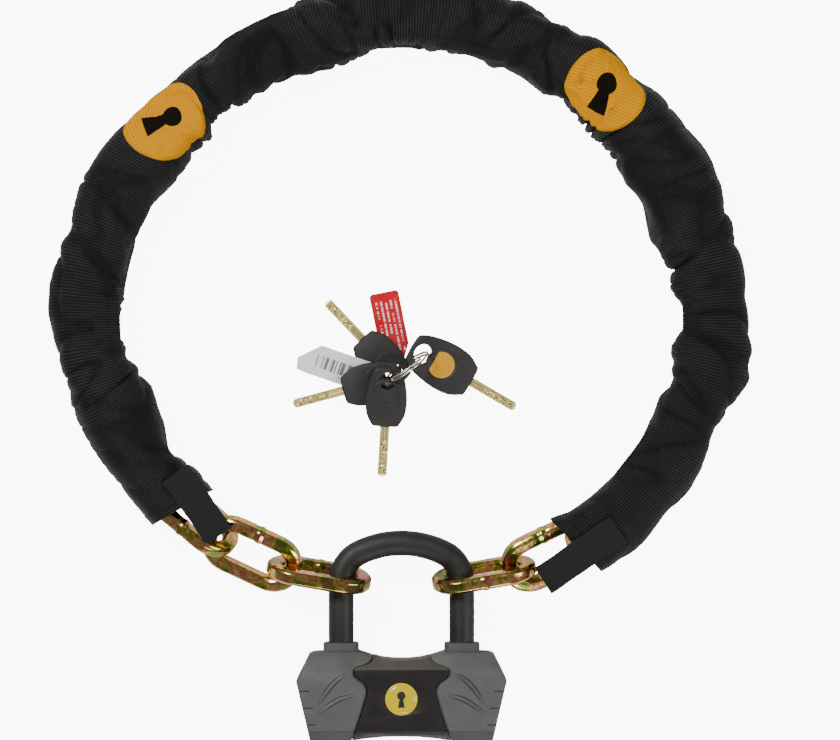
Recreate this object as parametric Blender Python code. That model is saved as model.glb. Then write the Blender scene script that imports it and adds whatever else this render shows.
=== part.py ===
"""Chain lock: a square-link chain in a ribbed sleeve, a two-leg shackle lock and a bunch of keys."""

import math

import bmesh
import bpy
from mathutils import Matrix, Vector

MM = 0.001
GAP = 0.0003

# The chain loop, seen from above. Angles run from the far end of the loop, on either side of X = 0.
LOOP_Y = 0.02430
LOOP_RADIUS = 0.1885
SIDE_BULGE = 0.003
BULGE_ANGLE = math.radians(88)
BULGE_SPREAD = math.radians(20)
DROOP = 0.026
DROOP_FROM = math.radians(95)
DROOP_OVER = math.radians(72)
CHAIN_Z = 0.0195

# One link of the chain
LINK_BAR = 0.0092
LINK_CHAMFER = 0.0018
LINK_LENGTH = 0.0655
LINK_WIDTH = 0.0385
LINK_ARC_STEPS = 6
LINKS_PER_SIDE = 12
LEG_TO_FIRST_LINK = 0.0139
SLEEVE_TILT = 45.0
SPECIAL_TILTS = {1: -75.0, 2: 28.0, 3: -52.5, 4: 44.0, 5: -54.0, 6: 46.0, 8: 41.0, 9: -39.0}

# The sleeve over the chain
SLEEVE_HALF_WIDTH = 0.0216
SLEEVE_HALF_HEIGHT = 0.0193
SLEEVE_WALL = 0.0014
SLEEVE_SQUARENESS = 3.2
SLEEVE_POINTS = 18
SLEEVE_STEP = 0.024
FOLD_GAP = 0.0130
LOWER_FOLD_LINK = 8.5
UPPER_FOLD_LINK = 4.5
LEFT_MOUTH = math.radians(130.3)
RIGHT_MOUTH = math.radians(142.1)

# The shackle
LEG_X = 0.0374
ROD_Z = 0.021
ROD_RADIUS = 0.00785
STEEL_RADIUS = 0.0071
COLLAR_TOP_Y = -0.17410
LEG_DEPTH = 0.030
BEND_RISE = 0.0374
CORNER_RADIUS = 0.020
CORNER_SWEEP = math.radians(64)
NOTCH_V = 0.023
NOTCH_LENGTH = 0.0064
NOTCH_DEPTH = 0.0035

# The lock body; v is the distance below the tops of the collars.
BODY_DEPTH = 0.042
EDGE = 0.0012
BLOCK_HALF_X = 0.0520
BLOCK_TOP_V = 0.0130
BLOCK_BOTTOM_V = 0.0535
BLOCK_LOW_Z = 0.0050
BLOCK_HIGH_Z = 0.0370
LEG_BORE_RADIUS = 0.0083
COLLAR_SIZE = 0.0219
BADGE_V = 0.034
BADGE_RADIUS = 0.0100
BADGE_RISE = 0.0014
# The grips' outlines and marks as (x, distance below the collars' tops), in millimetres
SEAM = [(18.0, 8.3), (19.5, 10.5), (22.5, 12.5), (26.5, 13.7), (29.1, 15.5), (29.5, 17.6), (28.9, 20.0)]
SEAM += [(26.3, 22.3), (23.4, 24.3), (21.6, 27.6), (21.5, 31.0), (23.0, 36.5), (25.6, 45.0), (28.3, 53.0)]
SEAM += [(30.7, 59.9)]
SHOULDER = [(57.4, 7.4), (65.0, 22.9), (56.3, 59.9)]
RIDGES = {
    "outer": [(34.6, 18.4), (43.0, 25.6), (51.2, 36.9)],
    "inner": [(28.9, 31.2), (40.0, 35.0), (50.6, 42.2)],
}
NOTCHES = [(57.0, 62.4, 29.2), (54.4, 60.4, 39.6), (52.8, 58.2, 49.8)]

# The lock mechanism
HOUSING_RADIUS = 0.0086
CYLINDER_BORE = 0.0089
PLUG_RADIUS = 0.0062
PLUG_FACE_V = 0.0568
HOUSING_TOP_V = 0.0320
PLUG_TOP_V = 0.0275
CAM_LOW_RADIUS = 0.0045
BOLT_TRAVEL = 0.0032
BOLT_HALF_Y = 0.0026
BOLT_HALF_Z = 0.0040
BOLT_FINGER_Z = 0.0014

# The straps sewn to the sleeve mouths
STRAP_WIDTH = 0.019
STRAP_THICKNESS = 0.0014
# Each strap's middle line as (distance, height), in millimetres
STRAP_LEFT_LINE = [(0, 39.9), (12, 39.9), (24, 39.9), (33, 38.6), (40, 37.6), (46, 38.0)]
STRAP_RIGHT_LINE = [(0, 39.9), (14, 39.9), (28, 39.9), (38, 38.4), (45, 37.6), (51, 38.2)]

# The keys on their ring
RING_BASE = Vector((0.0022, LOOP_Y - 0.0254, 0.0004))
RING_HEADING = math.radians(34.7)
RING_LEAN = math.radians(10)
RING_RADIUS = 0.0150
RING_WIRE = 0.00065
RING_PITCH = 0.0017
RING_TURNS = 1.85
BOW_THICKNESS = 0.0048
BLADE_LENGTH = 0.032
BLADE_WIDTH = 0.0057
BLADE_THICKNESS = 0.0022
TANG = 0.009
HOLE_FROM_END = 0.0080
TAG_THICKNESS = 0.0005


# Scene and mesh helpers


def clear_scene():
    for obj in list(bpy.data.objects):
        bpy.data.objects.remove(obj, do_unlink=True)


def make_collection(name):
    collection = bpy.data.collections.new(name)
    bpy.context.scene.collection.children.link(collection)
    return collection


def make_material(name, colour, roughness, metallic=0.0):
    material = bpy.data.materials.new(name)
    material.use_nodes = True
    shader = material.node_tree.nodes["Principled BSDF"]
    shader.inputs["Base Color"].default_value = (*colour, 1.0)
    shader.inputs["Roughness"].default_value = roughness
    shader.inputs["Metallic"].default_value = metallic
    material.diffuse_color = (*colour, 1.0)
    return material


def finish_mesh(bm, name, material=None, helper=False):
    """Makes an object of a bmesh: a part of the lock, or a hidden helper that a Boolean reads."""
    bmesh.ops.recalc_face_normals(bm, faces=bm.faces[:])
    mesh = bpy.data.meshes.new(name)
    bm.to_mesh(mesh)
    bm.free()
    obj = bpy.data.objects.new(name, mesh)
    if helper:
        HELPERS.objects.link(obj)
        obj.hide_render = True
        obj.display_type = "WIRE"
        return obj
    PARTS.objects.link(obj)
    mesh.materials.append(material)
    return obj


def combine(obj, other, operation="DIFFERENCE"):
    modifier = obj.modifiers.new(other.name, "BOOLEAN")
    modifier.object = other
    modifier.operation = operation
    modifier.solver = "EXACT"


def loft(rings, closed=False):
    """A closed surface through rings of points: capped at both ends, or joined end to start."""
    bm = bmesh.new()
    rows = [[bm.verts.new(point) for point in ring] for ring in rings]
    pairs = list(zip(rows, rows[1:]))
    if closed:
        pairs.append((rows[-1], rows[0]))
    else:
        bm.faces.new(rows[0])
        bm.faces.new(rows[-1])
    count = len(rows[0])
    for first, second in pairs:
        for i in range(count):
            j = (i + 1) % count
            bm.faces.new((first[i], first[j], second[j], second[i]))
    return bm


def place_rings(frames, section, scales=None):
    """The section drawn at each frame (origin, across, up), times that frame's scale."""
    scales = scales or [1.0] * len(frames)
    return [
        [origin + (across * a + up * b) * scale for a, b in section]
        for (origin, across, up), scale in zip(frames, scales)
    ]


def circle(radius, count, turn=0.0):
    angles = [turn + 2 * math.pi * i / count for i in range(count)]
    return [(radius * math.cos(angle), radius * math.sin(angle)) for angle in angles]


def superellipse(half_a, half_b, power, count):
    points = []
    for i in range(count):
        angle = 2 * math.pi * (i + 0.5) / count
        c = math.cos(angle)
        s = math.sin(angle)
        a = math.copysign(abs(c) ** (2 / power), c)
        b = math.copysign(abs(s) ** (2 / power), s)
        points.append((half_a * a, half_b * b))
    return points


def smooth(points, steps, closed=False):
    """A Catmull-Rom curve through points in the plane, with this many steps between neighbours."""
    points = [Vector(point) for point in points]
    last = len(points)
    spans = last if closed else last - 1
    out = []
    for i in range(spans):
        if closed:
            p0, p1, p2, p3 = (points[(i + k - 1) % last] for k in range(4))
        else:
            p1, p2 = points[i], points[i + 1]
            p0 = points[i - 1] if i else p1 * 2 - p2
            p3 = points[i + 2] if i + 2 < last else p2 * 2 - p1
        for k in range(steps):
            t = k / steps
            square = p0 * 2 - p1 * 5 + p2 * 4 - p3
            cube = p1 * 3 - p0 - p2 * 3 + p3
            out.append((p1 * 2 + (p2 - p0) * t + square * t**2 + cube * t**3) / 2)
    if not closed:
        out.append(points[-1])
    return out


def inset(outline, distance):
    """The outline moved inwards by mitred offsets; it runs counter-clockwise."""
    count = len(outline)
    moved = []
    for i in range(count):
        before = (outline[i] - outline[i - 1]).normalized()
        after = (outline[(i + 1) % count] - outline[i]).normalized()
        inward = Vector((-before.y - after.y, before.x + after.x))
        inward /= max(0.5, 1 + before.dot(after))
        moved.append(outline[i] + inward * distance)
    return moved


def prism(outline, low, high, edge=0.0, matrix=None):
    """An outline in XY carried from low to high in Z, with its two rims chamfered by edge."""
    outline = [Vector(point) for point in outline]
    levels = [(0.0, low), (0.0, high)]
    if edge:
        levels = [(edge, low), (0.0, low + edge), (0.0, high - edge), (edge, high)]
    rings = []
    for offset, z in levels:
        ring = inset(outline, offset) if offset else outline
        rings.append([Vector((point.x, point.y, z)) for point in ring])
    bm = loft(rings)
    if matrix:
        bmesh.ops.transform(bm, matrix=matrix, verts=bm.verts[:])
    return bm


def box(low, high):
    (x0, y0, z0), (x1, y1, z1) = low, high
    return prism([(x0, y0), (x1, y0), (x1, y1), (x0, y1)], z0, z1)


def cylinder_y(x, z, radius, y0, y1, count=32):
    """A cylinder along Y."""
    matrix = Matrix.Translation((x, y1, z)) @ Matrix.Rotation(math.pi / 2, 4, "X")
    return prism(circle(radius, count), 0.0, y1 - y0, matrix=matrix)


def y_of(v):
    return COLLAR_TOP_Y - v


# The chain's path


def loop_radius(angle):
    bulge = SIDE_BULGE * math.exp(-(((angle - BULGE_ANGLE) / BULGE_SPREAD) ** 2))
    droop = DROOP * (max(0.0, angle - DROOP_FROM) / DROOP_OVER) ** 1.2
    return LOOP_RADIUS + bulge - droop


def loop_point(angle):
    radius = loop_radius(abs(angle))
    return Vector((radius * math.sin(angle), LOOP_Y + radius * math.cos(angle), 0.0))


def angle_at(distance):
    """The angle reached after this length of path from the loop's far end."""
    step = math.radians(0.25)
    angle = 0.0
    left = abs(distance)
    while True:
        length = (loop_point(angle + step) - loop_point(angle)).length
        if length >= left:
            return math.copysign(angle + step * left / length, distance)
        left -= length
        angle += step


def distance_to(angle):
    step = math.radians(0.25)
    count = int(angle / step)
    total = sum((loop_point((i + 1) * step) - loop_point(i * step)).length for i in range(count))
    return total + (loop_point(angle) - loop_point(count * step)).length


def leg_distance():
    """The path length at which the loop crosses the shackle's leg."""
    low = math.radians(150)
    high = math.radians(175)
    for _ in range(40):
        middle = (low + high) / 2
        if loop_point(middle).x > LEG_X:
            low = middle
        else:
            high = middle
    return distance_to(low)


def path_frame(distance, z=CHAIN_Z):
    """Origin, direction along the path away from the loop's far end, and direction towards its inside."""
    angle = angle_at(distance)
    small = math.radians(0.2)
    along = (loop_point(angle + small) - loop_point(angle - small)).normalized()
    inward = along.cross(Vector((0, 0, 1)))
    if inward.dot(Vector((0, LOOP_Y, 0)) - loop_point(angle)) < 0:
        inward = -inward
    return loop_point(angle) + Vector((0, 0, z)), along, inward


def chain_height(distance):
    """The chain rises a little where it leaves the sleeve and meets the shackle's legs."""
    share = min(1.0, max(0.0, (abs(distance) - 0.432) / 0.08))
    return CHAIN_Z + (ROD_Z - CHAIN_Z) * share


# The chain


def link_tilt(number):
    """A link's turn about the path, in degrees; links are numbered from the lock, 1 to 13."""
    return SPECIAL_TILTS.get(number, -SLEEVE_TILT if number % 2 else SLEEVE_TILT)


def link_mesh(origin, along, across):
    """A welded link of chamfered square bar, bent round a long oval."""
    normal = along.cross(across)
    half = LINK_BAR / 2
    cut = half - LINK_CHAMFER
    section = [(half, cut), (cut, half), (-cut, half), (-half, cut)]
    section += [(-half, -cut), (-cut, -half), (cut, -half), (half, -cut)]
    radius = (LINK_WIDTH - LINK_BAR) / 2
    reach = (LINK_LENGTH - LINK_WIDTH) / 2
    frames = []
    for end in (0, 1):
        for i in range(LINK_ARC_STEPS + 1):
            angle = math.pi * (end + i / LINK_ARC_STEPS) - math.pi / 2
            out = along * math.cos(angle) + across * math.sin(angle)
            centre = origin + along * (reach if end == 0 else -reach)
            frames.append((centre + out * radius, out, normal))
    return loft(place_rings(frames, section), closed=True)


def make_link(name, distance, tilt):
    origin, along, inward = path_frame(distance, chain_height(distance))
    tilt = math.radians(tilt)
    across = inward * math.cos(tilt) + Vector((0, 0, 1)) * math.sin(tilt)
    return finish_mesh(link_mesh(origin, along, across), name, PLATED)


def make_chain():
    for number in range(1, LINKS_PER_SIDE + 1):
        distance = (LINKS_PER_SIDE + 1 - number) * PITCH
        for side, name in ((-1, "link_left"), (1, "link_right")):
            make_link(f"{name}_{number:02d}", side * distance, link_tilt(number))
    make_link("link_far", 0.0, link_tilt(LINKS_PER_SIDE + 1))


# The sleeve and its straps


def make_sleeve(name, start, end):
    """A ribbed fabric tube over part of the chain, between two path lengths."""
    count = max(2, math.ceil((end - start) / SLEEVE_STEP))
    stations = [start + (end - start) * i / count for i in range(count + 1)]
    frames = []
    for distance in stations:
        origin, _, inward = path_frame(distance)
        frames.append((origin, inward, Vector((0, 0, 1))))
    outer = superellipse(SLEEVE_HALF_WIDTH, SLEEVE_HALF_HEIGHT, SLEEVE_SQUARENESS, SLEEVE_POINTS)
    inner_width = SLEEVE_HALF_WIDTH - SLEEVE_WALL
    inner_height = SLEEVE_HALF_HEIGHT - SLEEVE_WALL
    inner = superellipse(inner_width, inner_height, SLEEVE_SQUARENESS, SLEEVE_POINTS)
    rings = place_rings(frames, outer) + place_rings(frames[::-1], inner)
    return finish_mesh(loft(rings, closed=True), name, FABRIC)


def make_sleeves():
    upper = UPPER_FOLD_LINK * PITCH
    lower = LOWER_FOLD_LINK * PITCH
    half = FOLD_GAP / 2
    make_sleeve("sleeve_far", half - upper, upper - half)
    for side, name, mouth in ((-1, "left", LEFT_MOUTH), (1, "right", RIGHT_MOUTH)):
        middle = sorted((side * (upper + half), side * (lower - half)))
        make_sleeve(f"sleeve_{name}_middle", *middle)
        near = sorted((side * (lower + half), side * distance_to(mouth)))
        make_sleeve(f"sleeve_{name}_lower", *near)


def make_strap(name, start, heading, profile):
    """A webbing strap: profile lists (distance along the heading, height) of the band's middle line."""
    direction = Vector((math.cos(heading), math.sin(heading), 0))
    width = Vector((-direction.y, direction.x, 0)) * (STRAP_WIDTH / 2)
    line = smooth([Vector(point) * MM for point in profile], 3)
    frames = []
    for i, point in enumerate(line):
        before = line[max(0, i - 1)]
        after = line[min(len(line) - 1, i + 1)]
        slope = (after - before).normalized()
        normal = direction * -slope.y + Vector((0, 0, slope.x))
        frames.append((start + direction * point.x + Vector((0, 0, point.y)), width, normal))
    half = STRAP_THICKNESS / 2
    section = [(1, -half), (1, half), (-1, half), (-1, -half)]
    rings = [[origin + across * a + up * b for a, b in section] for origin, across, up in frames]
    return finish_mesh(loft(rings), name, WEBBING)


def make_straps():
    left = Vector((-0.1395, LOOP_Y - 0.0935, 0.0))
    right = Vector((0.1340, LOOP_Y - 0.1280, 0.0))
    make_strap("strap_left", left, math.radians(-54.5), STRAP_LEFT_LINE)
    make_strap("strap_right", right, math.radians(211), STRAP_RIGHT_LINE)




# The shackle


def rod_line():
    """The rod's middle line: up one leg, round two tight corners and a shallow crown, and down."""
    bend_y = COLLAR_TOP_Y + BEND_RISE
    crown_offset = (LEG_X - CORNER_RADIUS) / math.cos(CORNER_SWEEP)
    crown_radius = CORNER_RADIUS + crown_offset
    crown_y = bend_y - crown_offset * math.sin(CORNER_SWEEP)
    half = []
    for i in range(6):
        angle = CORNER_SWEEP * i / 6
        x = LEG_X - CORNER_RADIUS + CORNER_RADIUS * math.cos(angle)
        half.append((x, bend_y + CORNER_RADIUS * math.sin(angle)))
    for i in range(5):
        angle = CORNER_SWEEP + (math.pi / 2 - CORNER_SWEEP) * i / 5
        half.append((crown_radius * math.cos(angle), crown_y + crown_radius * math.sin(angle)))
    top = [(0.0, crown_y + crown_radius)]
    return half + top + [(-x, y) for x, y in reversed(half)]


def make_shackle():
    step_v = 0.0045
    tip = y_of(LEG_DEPTH)
    down = [(y_of(step_v), ROD_RADIUS), (y_of(step_v), STEEL_RADIUS)]
    down += [(tip + 0.001, STEEL_RADIUS), (tip, 0.0061)]
    line = [(LEG_X, y, radius) for y, radius in reversed(down)]
    line += [(x, y, ROD_RADIUS) for x, y in rod_line()]
    line += [(-LEG_X, y, radius) for y, radius in down]
    frames = []
    for i, (x, y, _) in enumerate(line):
        x0, y0, _ = line[max(0, i - 1)]
        x1, y1, _ = line[min(len(line) - 1, i + 1)]
        along = Vector((x1 - x0, y1 - y0, 0)).normalized()
        frames.append((Vector((x, y, ROD_Z)), Vector((along.y, -along.x, 0)), Vector((0, 0, 1))))
    rings = place_rings(frames, circle(1.0, 20), [radius for _, _, radius in line])
    shackle = finish_mesh(loft(rings), "shackle", ROD_BLACK)
    for side in (-1, 1):
        deep = side * (LEG_X - STEEL_RADIUS + NOTCH_DEPTH)
        outside = side * (LEG_X - STEEL_RADIUS - 0.003)
        low_y = y_of(NOTCH_V) - NOTCH_LENGTH / 2
        notch = box(
            (min(deep, outside), low_y, ROD_Z - 0.010),
            (max(deep, outside), low_y + NOTCH_LENGTH, ROD_Z + 0.010),
        )
        combine(shackle, finish_mesh(notch, f"notch_{side}", helper=True))


# The lock body


def body_points(points, side=1):
    """Points given in millimetres as (x, v), in metres in the frame's X and Y."""
    return [Vector((side * x * MM, y_of(v * MM))) for x, v in points]


def end_outline(side):
    seam = smooth(body_points(SEAM, side), 2)
    shift = Vector((side * GAP / 2, 0))
    seam = [point + shift for point in seam]
    top = body_points([(54.5, 6.2), (40.0, 5.4), (26.5, 5.6)], side)
    outline = seam + body_points([(42.0, 60.1)] + SHOULDER[::-1], side) + top
    return outline if side > 0 else outline[::-1]


def centre_outline():
    right = [point - Vector((GAP / 2, 0)) for point in smooth(body_points(SEAM), 2)]
    left = [Vector((-point.x, point.y)) for point in right]
    top = body_points([(-12.0, 9.7), (-6.0, 10.4), (0.0, 10.6), (6.0, 10.4), (12.0, 9.7)])
    foot = body_points([(22.0, 58.4), (11.0, 57.4), (0.0, 57.1), (-11.0, 57.4), (-22.0, 58.4)])
    return (left[::-1] + top + right + foot)[::-1]


def slope_cutter(name, half_x, v_crease, v_end, drop):
    """Takes a sloping face off the front: from the crease at full depth down by drop at the rim."""
    y0 = y_of(v_crease)
    y1 = y_of(v_end)
    reach = 0.012
    grow = drop / abs(y1 - y0) * (abs(y1 - y0) + reach)
    far = y1 + math.copysign(reach, y1 - y0)
    side = [(y0, BODY_DEPTH), (far, BODY_DEPTH - grow), (far, BODY_DEPTH + 0.004), (y0, BODY_DEPTH + 0.004)]
    rings = [[Vector((x, y, z)) for y, z in side] for x in (-half_x, half_x)]
    return finish_mesh(loft(rings), name, helper=True)


def pocket_box(low_x, high_x):
    low = (low_x, y_of(BLOCK_BOTTOM_V) - GAP, BLOCK_LOW_Z - GAP)
    high = (high_x, y_of(BLOCK_TOP_V) + GAP, BLOCK_HIGH_Z + GAP)
    return box(low, high)


def add_ridges(cover, side):
    """Two curved raised ribs on the front of a grip, and three short grooves at its edge."""
    for name, points in RIDGES.items():
        line = smooth(body_points(points, side), 4)
        frames = []
        for i, point in enumerate(line):
            along = (line[min(len(line) - 1, i + 1)] - line[max(0, i - 1)]).normalized()
            origin = Vector((point.x, point.y, BODY_DEPTH - 0.0002))
            frames.append((origin, Vector((along.y, -along.x, 0)), Vector((0, 0, 1))))
        scales = [0.45] + [1.0] * (len(line) - 2) + [0.45]
        rib = loft(place_rings(frames, circle(0.00105, 6, math.pi / 6), scales))
        combine(cover, finish_mesh(rib, f"rib_{name}_{side}", helper=True), "UNION")
    for index, (x0, x1, v) in enumerate(NOTCHES):
        low = (min(side * x0, side * x1) * MM, y_of(v * MM) - 0.00035, BODY_DEPTH - 0.0009)
        high = (max(side * x0, side * x1) * MM, y_of(v * MM) + 0.00035, BODY_DEPTH + 0.002)
        combine(cover, finish_mesh(box(low, high), f"groove_{index}_{side}", helper=True))


def make_end_cover(name, side):
    cover = finish_mesh(prism(end_outline(side), 0.0, BODY_DEPTH, EDGE), name, GRIP)
    half = COLLAR_SIZE / 2
    corner = 0.003
    rim = [(half, half - corner), (half - corner, half)]
    square = []
    for a, b in ((1, 1), (-1, 1), (-1, -1), (1, -1)):
        for x, y in rim if a * b > 0 else rim[::-1]:
            square.append((a * x, b * y))
    matrix = Matrix.Translation((side * LEG_X, COLLAR_TOP_Y, ROD_Z)) @ Matrix.Rotation(math.pi / 2, 4, "X")
    collar = prism(square, 0.0, 0.012, 0.0008, matrix)
    combine(cover, finish_mesh(collar, f"collar_{side}", helper=True), "UNION")
    combine(cover, SLOPES["top"])
    combine(cover, SLOPES["foot"])
    add_ridges(cover, side)
    inner, outer = sorted((side * 0.010, side * (BLOCK_HALF_X + GAP)))
    combine(cover, finish_mesh(pocket_box(inner, outer), f"pocket_{side}", helper=True))
    bore = cylinder_y(side * LEG_X, ROD_Z, LEG_BORE_RADIUS, y_of(0.020), y_of(-0.005), 24)
    combine(cover, finish_mesh(bore, f"leg_hole_{side}", helper=True))


def make_centre_cover():
    cover = finish_mesh(prism(centre_outline(), 0.0, BODY_DEPTH, 0.0006), "centre_cover", PANEL)
    combine(cover, SLOPES["panel_top"])
    combine(cover, SLOPES["foot"])
    combine(cover, finish_mesh(pocket_box(-0.060, 0.060), "pocket_centre", helper=True))
    hole = cylinder_y(0.0, ROD_Z, CYLINDER_BORE + 0.0002, y_of(0.064), y_of(0.050))
    combine(cover, finish_mesh(hole, "cylinder_hole", helper=True))
    matrix = Matrix.Translation((0, y_of(BADGE_V), 0))
    recess = prism(circle(BADGE_RADIUS + GAP, 40), BODY_DEPTH - 0.0010, BODY_DEPTH + 0.003, matrix=matrix)
    combine(cover, finish_mesh(recess, "badge_recess", helper=True))


def make_badge():
    """A domed disc let into the front of the centre cover."""
    bottom = BODY_DEPTH - 0.0007
    levels = [(1.0, bottom), (1.0, BODY_DEPTH + 0.0003), (0.93, BODY_DEPTH + 0.0008)]
    levels += [(0.7, BODY_DEPTH + 0.0012), (0.35, BODY_DEPTH + BADGE_RISE)]
    rings = [
        [Vector((x * scale, y_of(BADGE_V) + y * scale, z)) for x, y in circle(BADGE_RADIUS, 36)]
        for scale, z in levels
    ]
    return finish_mesh(loft(rings), "badge", YELLOW)


def make_block():
    """The steel block that both legs lock into."""
    low = (-BLOCK_HALF_X, y_of(BLOCK_BOTTOM_V), BLOCK_LOW_Z)
    high = (BLOCK_HALF_X, y_of(BLOCK_TOP_V), BLOCK_HIGH_Z)
    block = finish_mesh(box(low, high), "lock_block", STEEL)
    for side in (-1, 1):
        bore = cylinder_y(side * LEG_X, ROD_Z, LEG_BORE_RADIUS - 0.0003, y_of(0.033), y_of(0.005), 28)
        combine(block, finish_mesh(bore, f"block_bore_{side}", helper=True))
    well = cylinder_y(0.0, ROD_Z, CYLINDER_BORE, y_of(0.060), y_of(0.018))
    combine(block, finish_mesh(well, "cylinder_well", helper=True))
    way_y = BOLT_HALF_Y + GAP
    way_z = BOLT_HALF_Z + GAP
    way_end = (LEG_X, y_of(NOTCH_V) + way_y, ROD_Z + way_z)
    way = box((-LEG_X, y_of(NOTCH_V) - way_y, ROD_Z - way_z), way_end)
    combine(block, finish_mesh(way, "bolt_way", helper=True))


def make_cylinder():
    housing_bottom = y_of(PLUG_FACE_V)
    housing = cylinder_y(0.0, ROD_Z, HOUSING_RADIUS, housing_bottom, y_of(HOUSING_TOP_V))
    housing = finish_mesh(housing, "cylinder_housing", STEEL)
    core = cylinder_y(0.0, ROD_Z, PLUG_RADIUS + GAP, housing_bottom - 0.01, y_of(HOUSING_TOP_V) + 0.01, 28)
    combine(housing, finish_mesh(core, "plug_bore", helper=True))
    plug = cylinder_y(0.0, ROD_Z, PLUG_RADIUS, housing_bottom + 0.0002, y_of(PLUG_TOP_V), 28)
    plug = finish_mesh(plug, "cylinder_plug", BRASS)
    slot_end = (0.0014, housing_bottom + 0.022, ROD_Z + 0.0032)
    slot = box((-0.0014, housing_bottom - 0.01, ROD_Z - 0.0032), slot_end)
    combine(plug, finish_mesh(slot, "keyway", helper=True))
    set_origin(plug, (0.0, housing_bottom, ROD_Z))


def make_cam():
    """Two spiral lobes, so that each degree of turn drives the bolts out by the same amount."""
    outline = []
    steps = 12
    for half in (0, 1):
        for i in range(steps + 1):
            share = i / steps
            angle = math.pi * half - share * math.pi / 2
            radius = CAM_LOW_RADIUS + BOLT_TRAVEL * share
            outline.append((radius * math.cos(angle), radius * math.sin(angle)))
        for i in range(1, 3):
            share = i / 3
            angle = math.pi * half - math.pi / 2 - share * math.pi / 2
            radius = CAM_LOW_RADIUS + BOLT_TRAVEL * (1 - share) ** 2
            outline.append((radius * math.cos(angle), radius * math.sin(angle)))
    first = outline[: steps + 3]
    second = outline[steps + 3 :]
    ordered = [Vector(point) for point in first + second][::-1]
    depth = BOLT_HALF_Y * 2
    middle = Matrix.Translation((0, y_of(NOTCH_V) + BOLT_HALF_Y, ROD_Z))
    matrix = middle @ Matrix.Rotation(math.pi / 2, 4, "X")
    cam = finish_mesh(prism(ordered, 0.0, depth, matrix=matrix), "cam", STEEL)
    set_origin(cam, (0.0, y_of(NOTCH_V), ROD_Z))


def make_bolts():
    tail = CAM_LOW_RADIUS + 0.0006
    shoulder = CYLINDER_BORE + 0.0008
    tip = LEG_X - STEEL_RADIUS - 0.0005
    middle = Matrix.Translation((0, y_of(NOTCH_V) + BOLT_HALF_Y, ROD_Z))
    matrix = middle @ Matrix.Rotation(math.pi / 2, 4, "X")
    for side, name in ((-1, "bolt_left"), (1, "bolt_right")):
        profile = [(tail, BOLT_FINGER_Z), (shoulder, BOLT_FINGER_Z)]
        profile += [(shoulder, BOLT_HALF_Z), (tip, BOLT_HALF_Z)]
        outline = [(side * x, z) for x, z in profile] + [(side * x, -z) for x, z in reversed(profile)]
        if side > 0:
            outline = outline[::-1]
        bolt = finish_mesh(prism(outline, 0.0, BOLT_HALF_Y * 2, matrix=matrix), name, STEEL)
        set_origin(bolt, (side * tip, y_of(NOTCH_V), ROD_Z))


def set_origin(obj, point):
    """Moves an object's origin to a point without moving its shape."""
    point = Vector(point)
    obj.data.transform(Matrix.Translation(-point))
    obj.location = point


# The keys


def bow_outline(length, half_width):
    """A shield shape: a blunt end at the ring, widest past the middle, drawn in to the shoulders."""
    shares = [(0.0, 0.42), (0.05, 0.66), (0.22, 0.86), (0.45, 0.98)]
    shares += [(0.62, 1.0), (0.80, 0.93), (0.95, 0.70), (1.0, 0.5)]
    upper = [Vector((length * x, half_width * y)) for x, y in shares]
    lower = [Vector((point.x, -point.y)) for point in upper]
    return smooth(lower + upper[::-1], 2, closed=True)


def make_key(name, hole, heading, bow_length, half_width, low_z, pitch=0.0, hole_size=(0.0054, 0.0054)):
    """A key lying on its side: hole is the middle of the ring hole, heading points to the blade's tip."""
    place = (
        Matrix.Translation((hole[0], hole[1], low_z))
        @ Matrix.Rotation(heading, 4, "Z")
        @ Matrix.Rotation(pitch, 4, "Y")
    )
    shift = Matrix.Translation((-HOLE_FROM_END, 0, 0))
    outline = bow_outline(bow_length, half_width)
    bow = finish_mesh(prism(outline, 0.0, BOW_THICKNESS, 0.0009, shift), f"{name}_bow", BOW_BLACK)
    ring_hole = [(x * hole_size[0], y * hole_size[1]) for x, y in circle(1.0, 20)]
    cut = finish_mesh(prism(ring_hole, -0.002, BOW_THICKNESS + 0.002), f"{name}_hole", helper=True)
    shoulder = bow_length - HOLE_FROM_END
    low = (BOW_THICKNESS - BLADE_THICKNESS) / 2
    side = BLADE_WIDTH / 2
    slot_end = (shoulder + 0.01, side + GAP, low + BLADE_THICKNESS + GAP)
    slot = box((shoulder - TANG - GAP, -side - GAP, low - GAP), slot_end)
    slot = finish_mesh(slot, f"{name}_slot", helper=True)
    point = 0.0016
    blade_outline = [(shoulder - TANG, -side), (shoulder + BLADE_LENGTH - point, -side)]
    blade_outline += [(shoulder + BLADE_LENGTH, -side + point), (shoulder + BLADE_LENGTH, side - point)]
    blade_outline += [(shoulder + BLADE_LENGTH - point, side), (shoulder - TANG, side)]
    blade = prism(blade_outline, low, low + BLADE_THICKNESS, 0.0003)
    blade = finish_mesh(blade, f"{name}_blade", BRASS)
    for obj in (bow, cut, slot, blade):
        obj.matrix_world = place
    combine(bow, cut)
    combine(bow, slot)
    return bow, place


def make_light_key():
    """The fourth key has a longer bow with a round yellow insert in its face."""
    hole = (0.0129, LOOP_Y - 0.0195)
    heading = math.radians(-30.1)
    size = (0.0054, 0.0062)
    bow, place = make_key("key_d", hole, heading, 0.0430, 0.0152, 0.0080, math.radians(5.5), size)
    centre = Matrix.Translation((0.0135, -0.0002, 0))
    recess = prism(circle(0.0084 + GAP, 32), BOW_THICKNESS - 0.0009, BOW_THICKNESS + 0.002, matrix=centre)
    recess = finish_mesh(recess, "insert_recess", helper=True)
    insert = prism(circle(0.0084, 32), BOW_THICKNESS - 0.0006, BOW_THICKNESS + 0.0003, 0.0003, centre)
    insert = finish_mesh(insert, "key_d_insert", YELLOW)
    recess.matrix_world = place
    insert.matrix_world = place
    combine(bow, recess)


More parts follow.
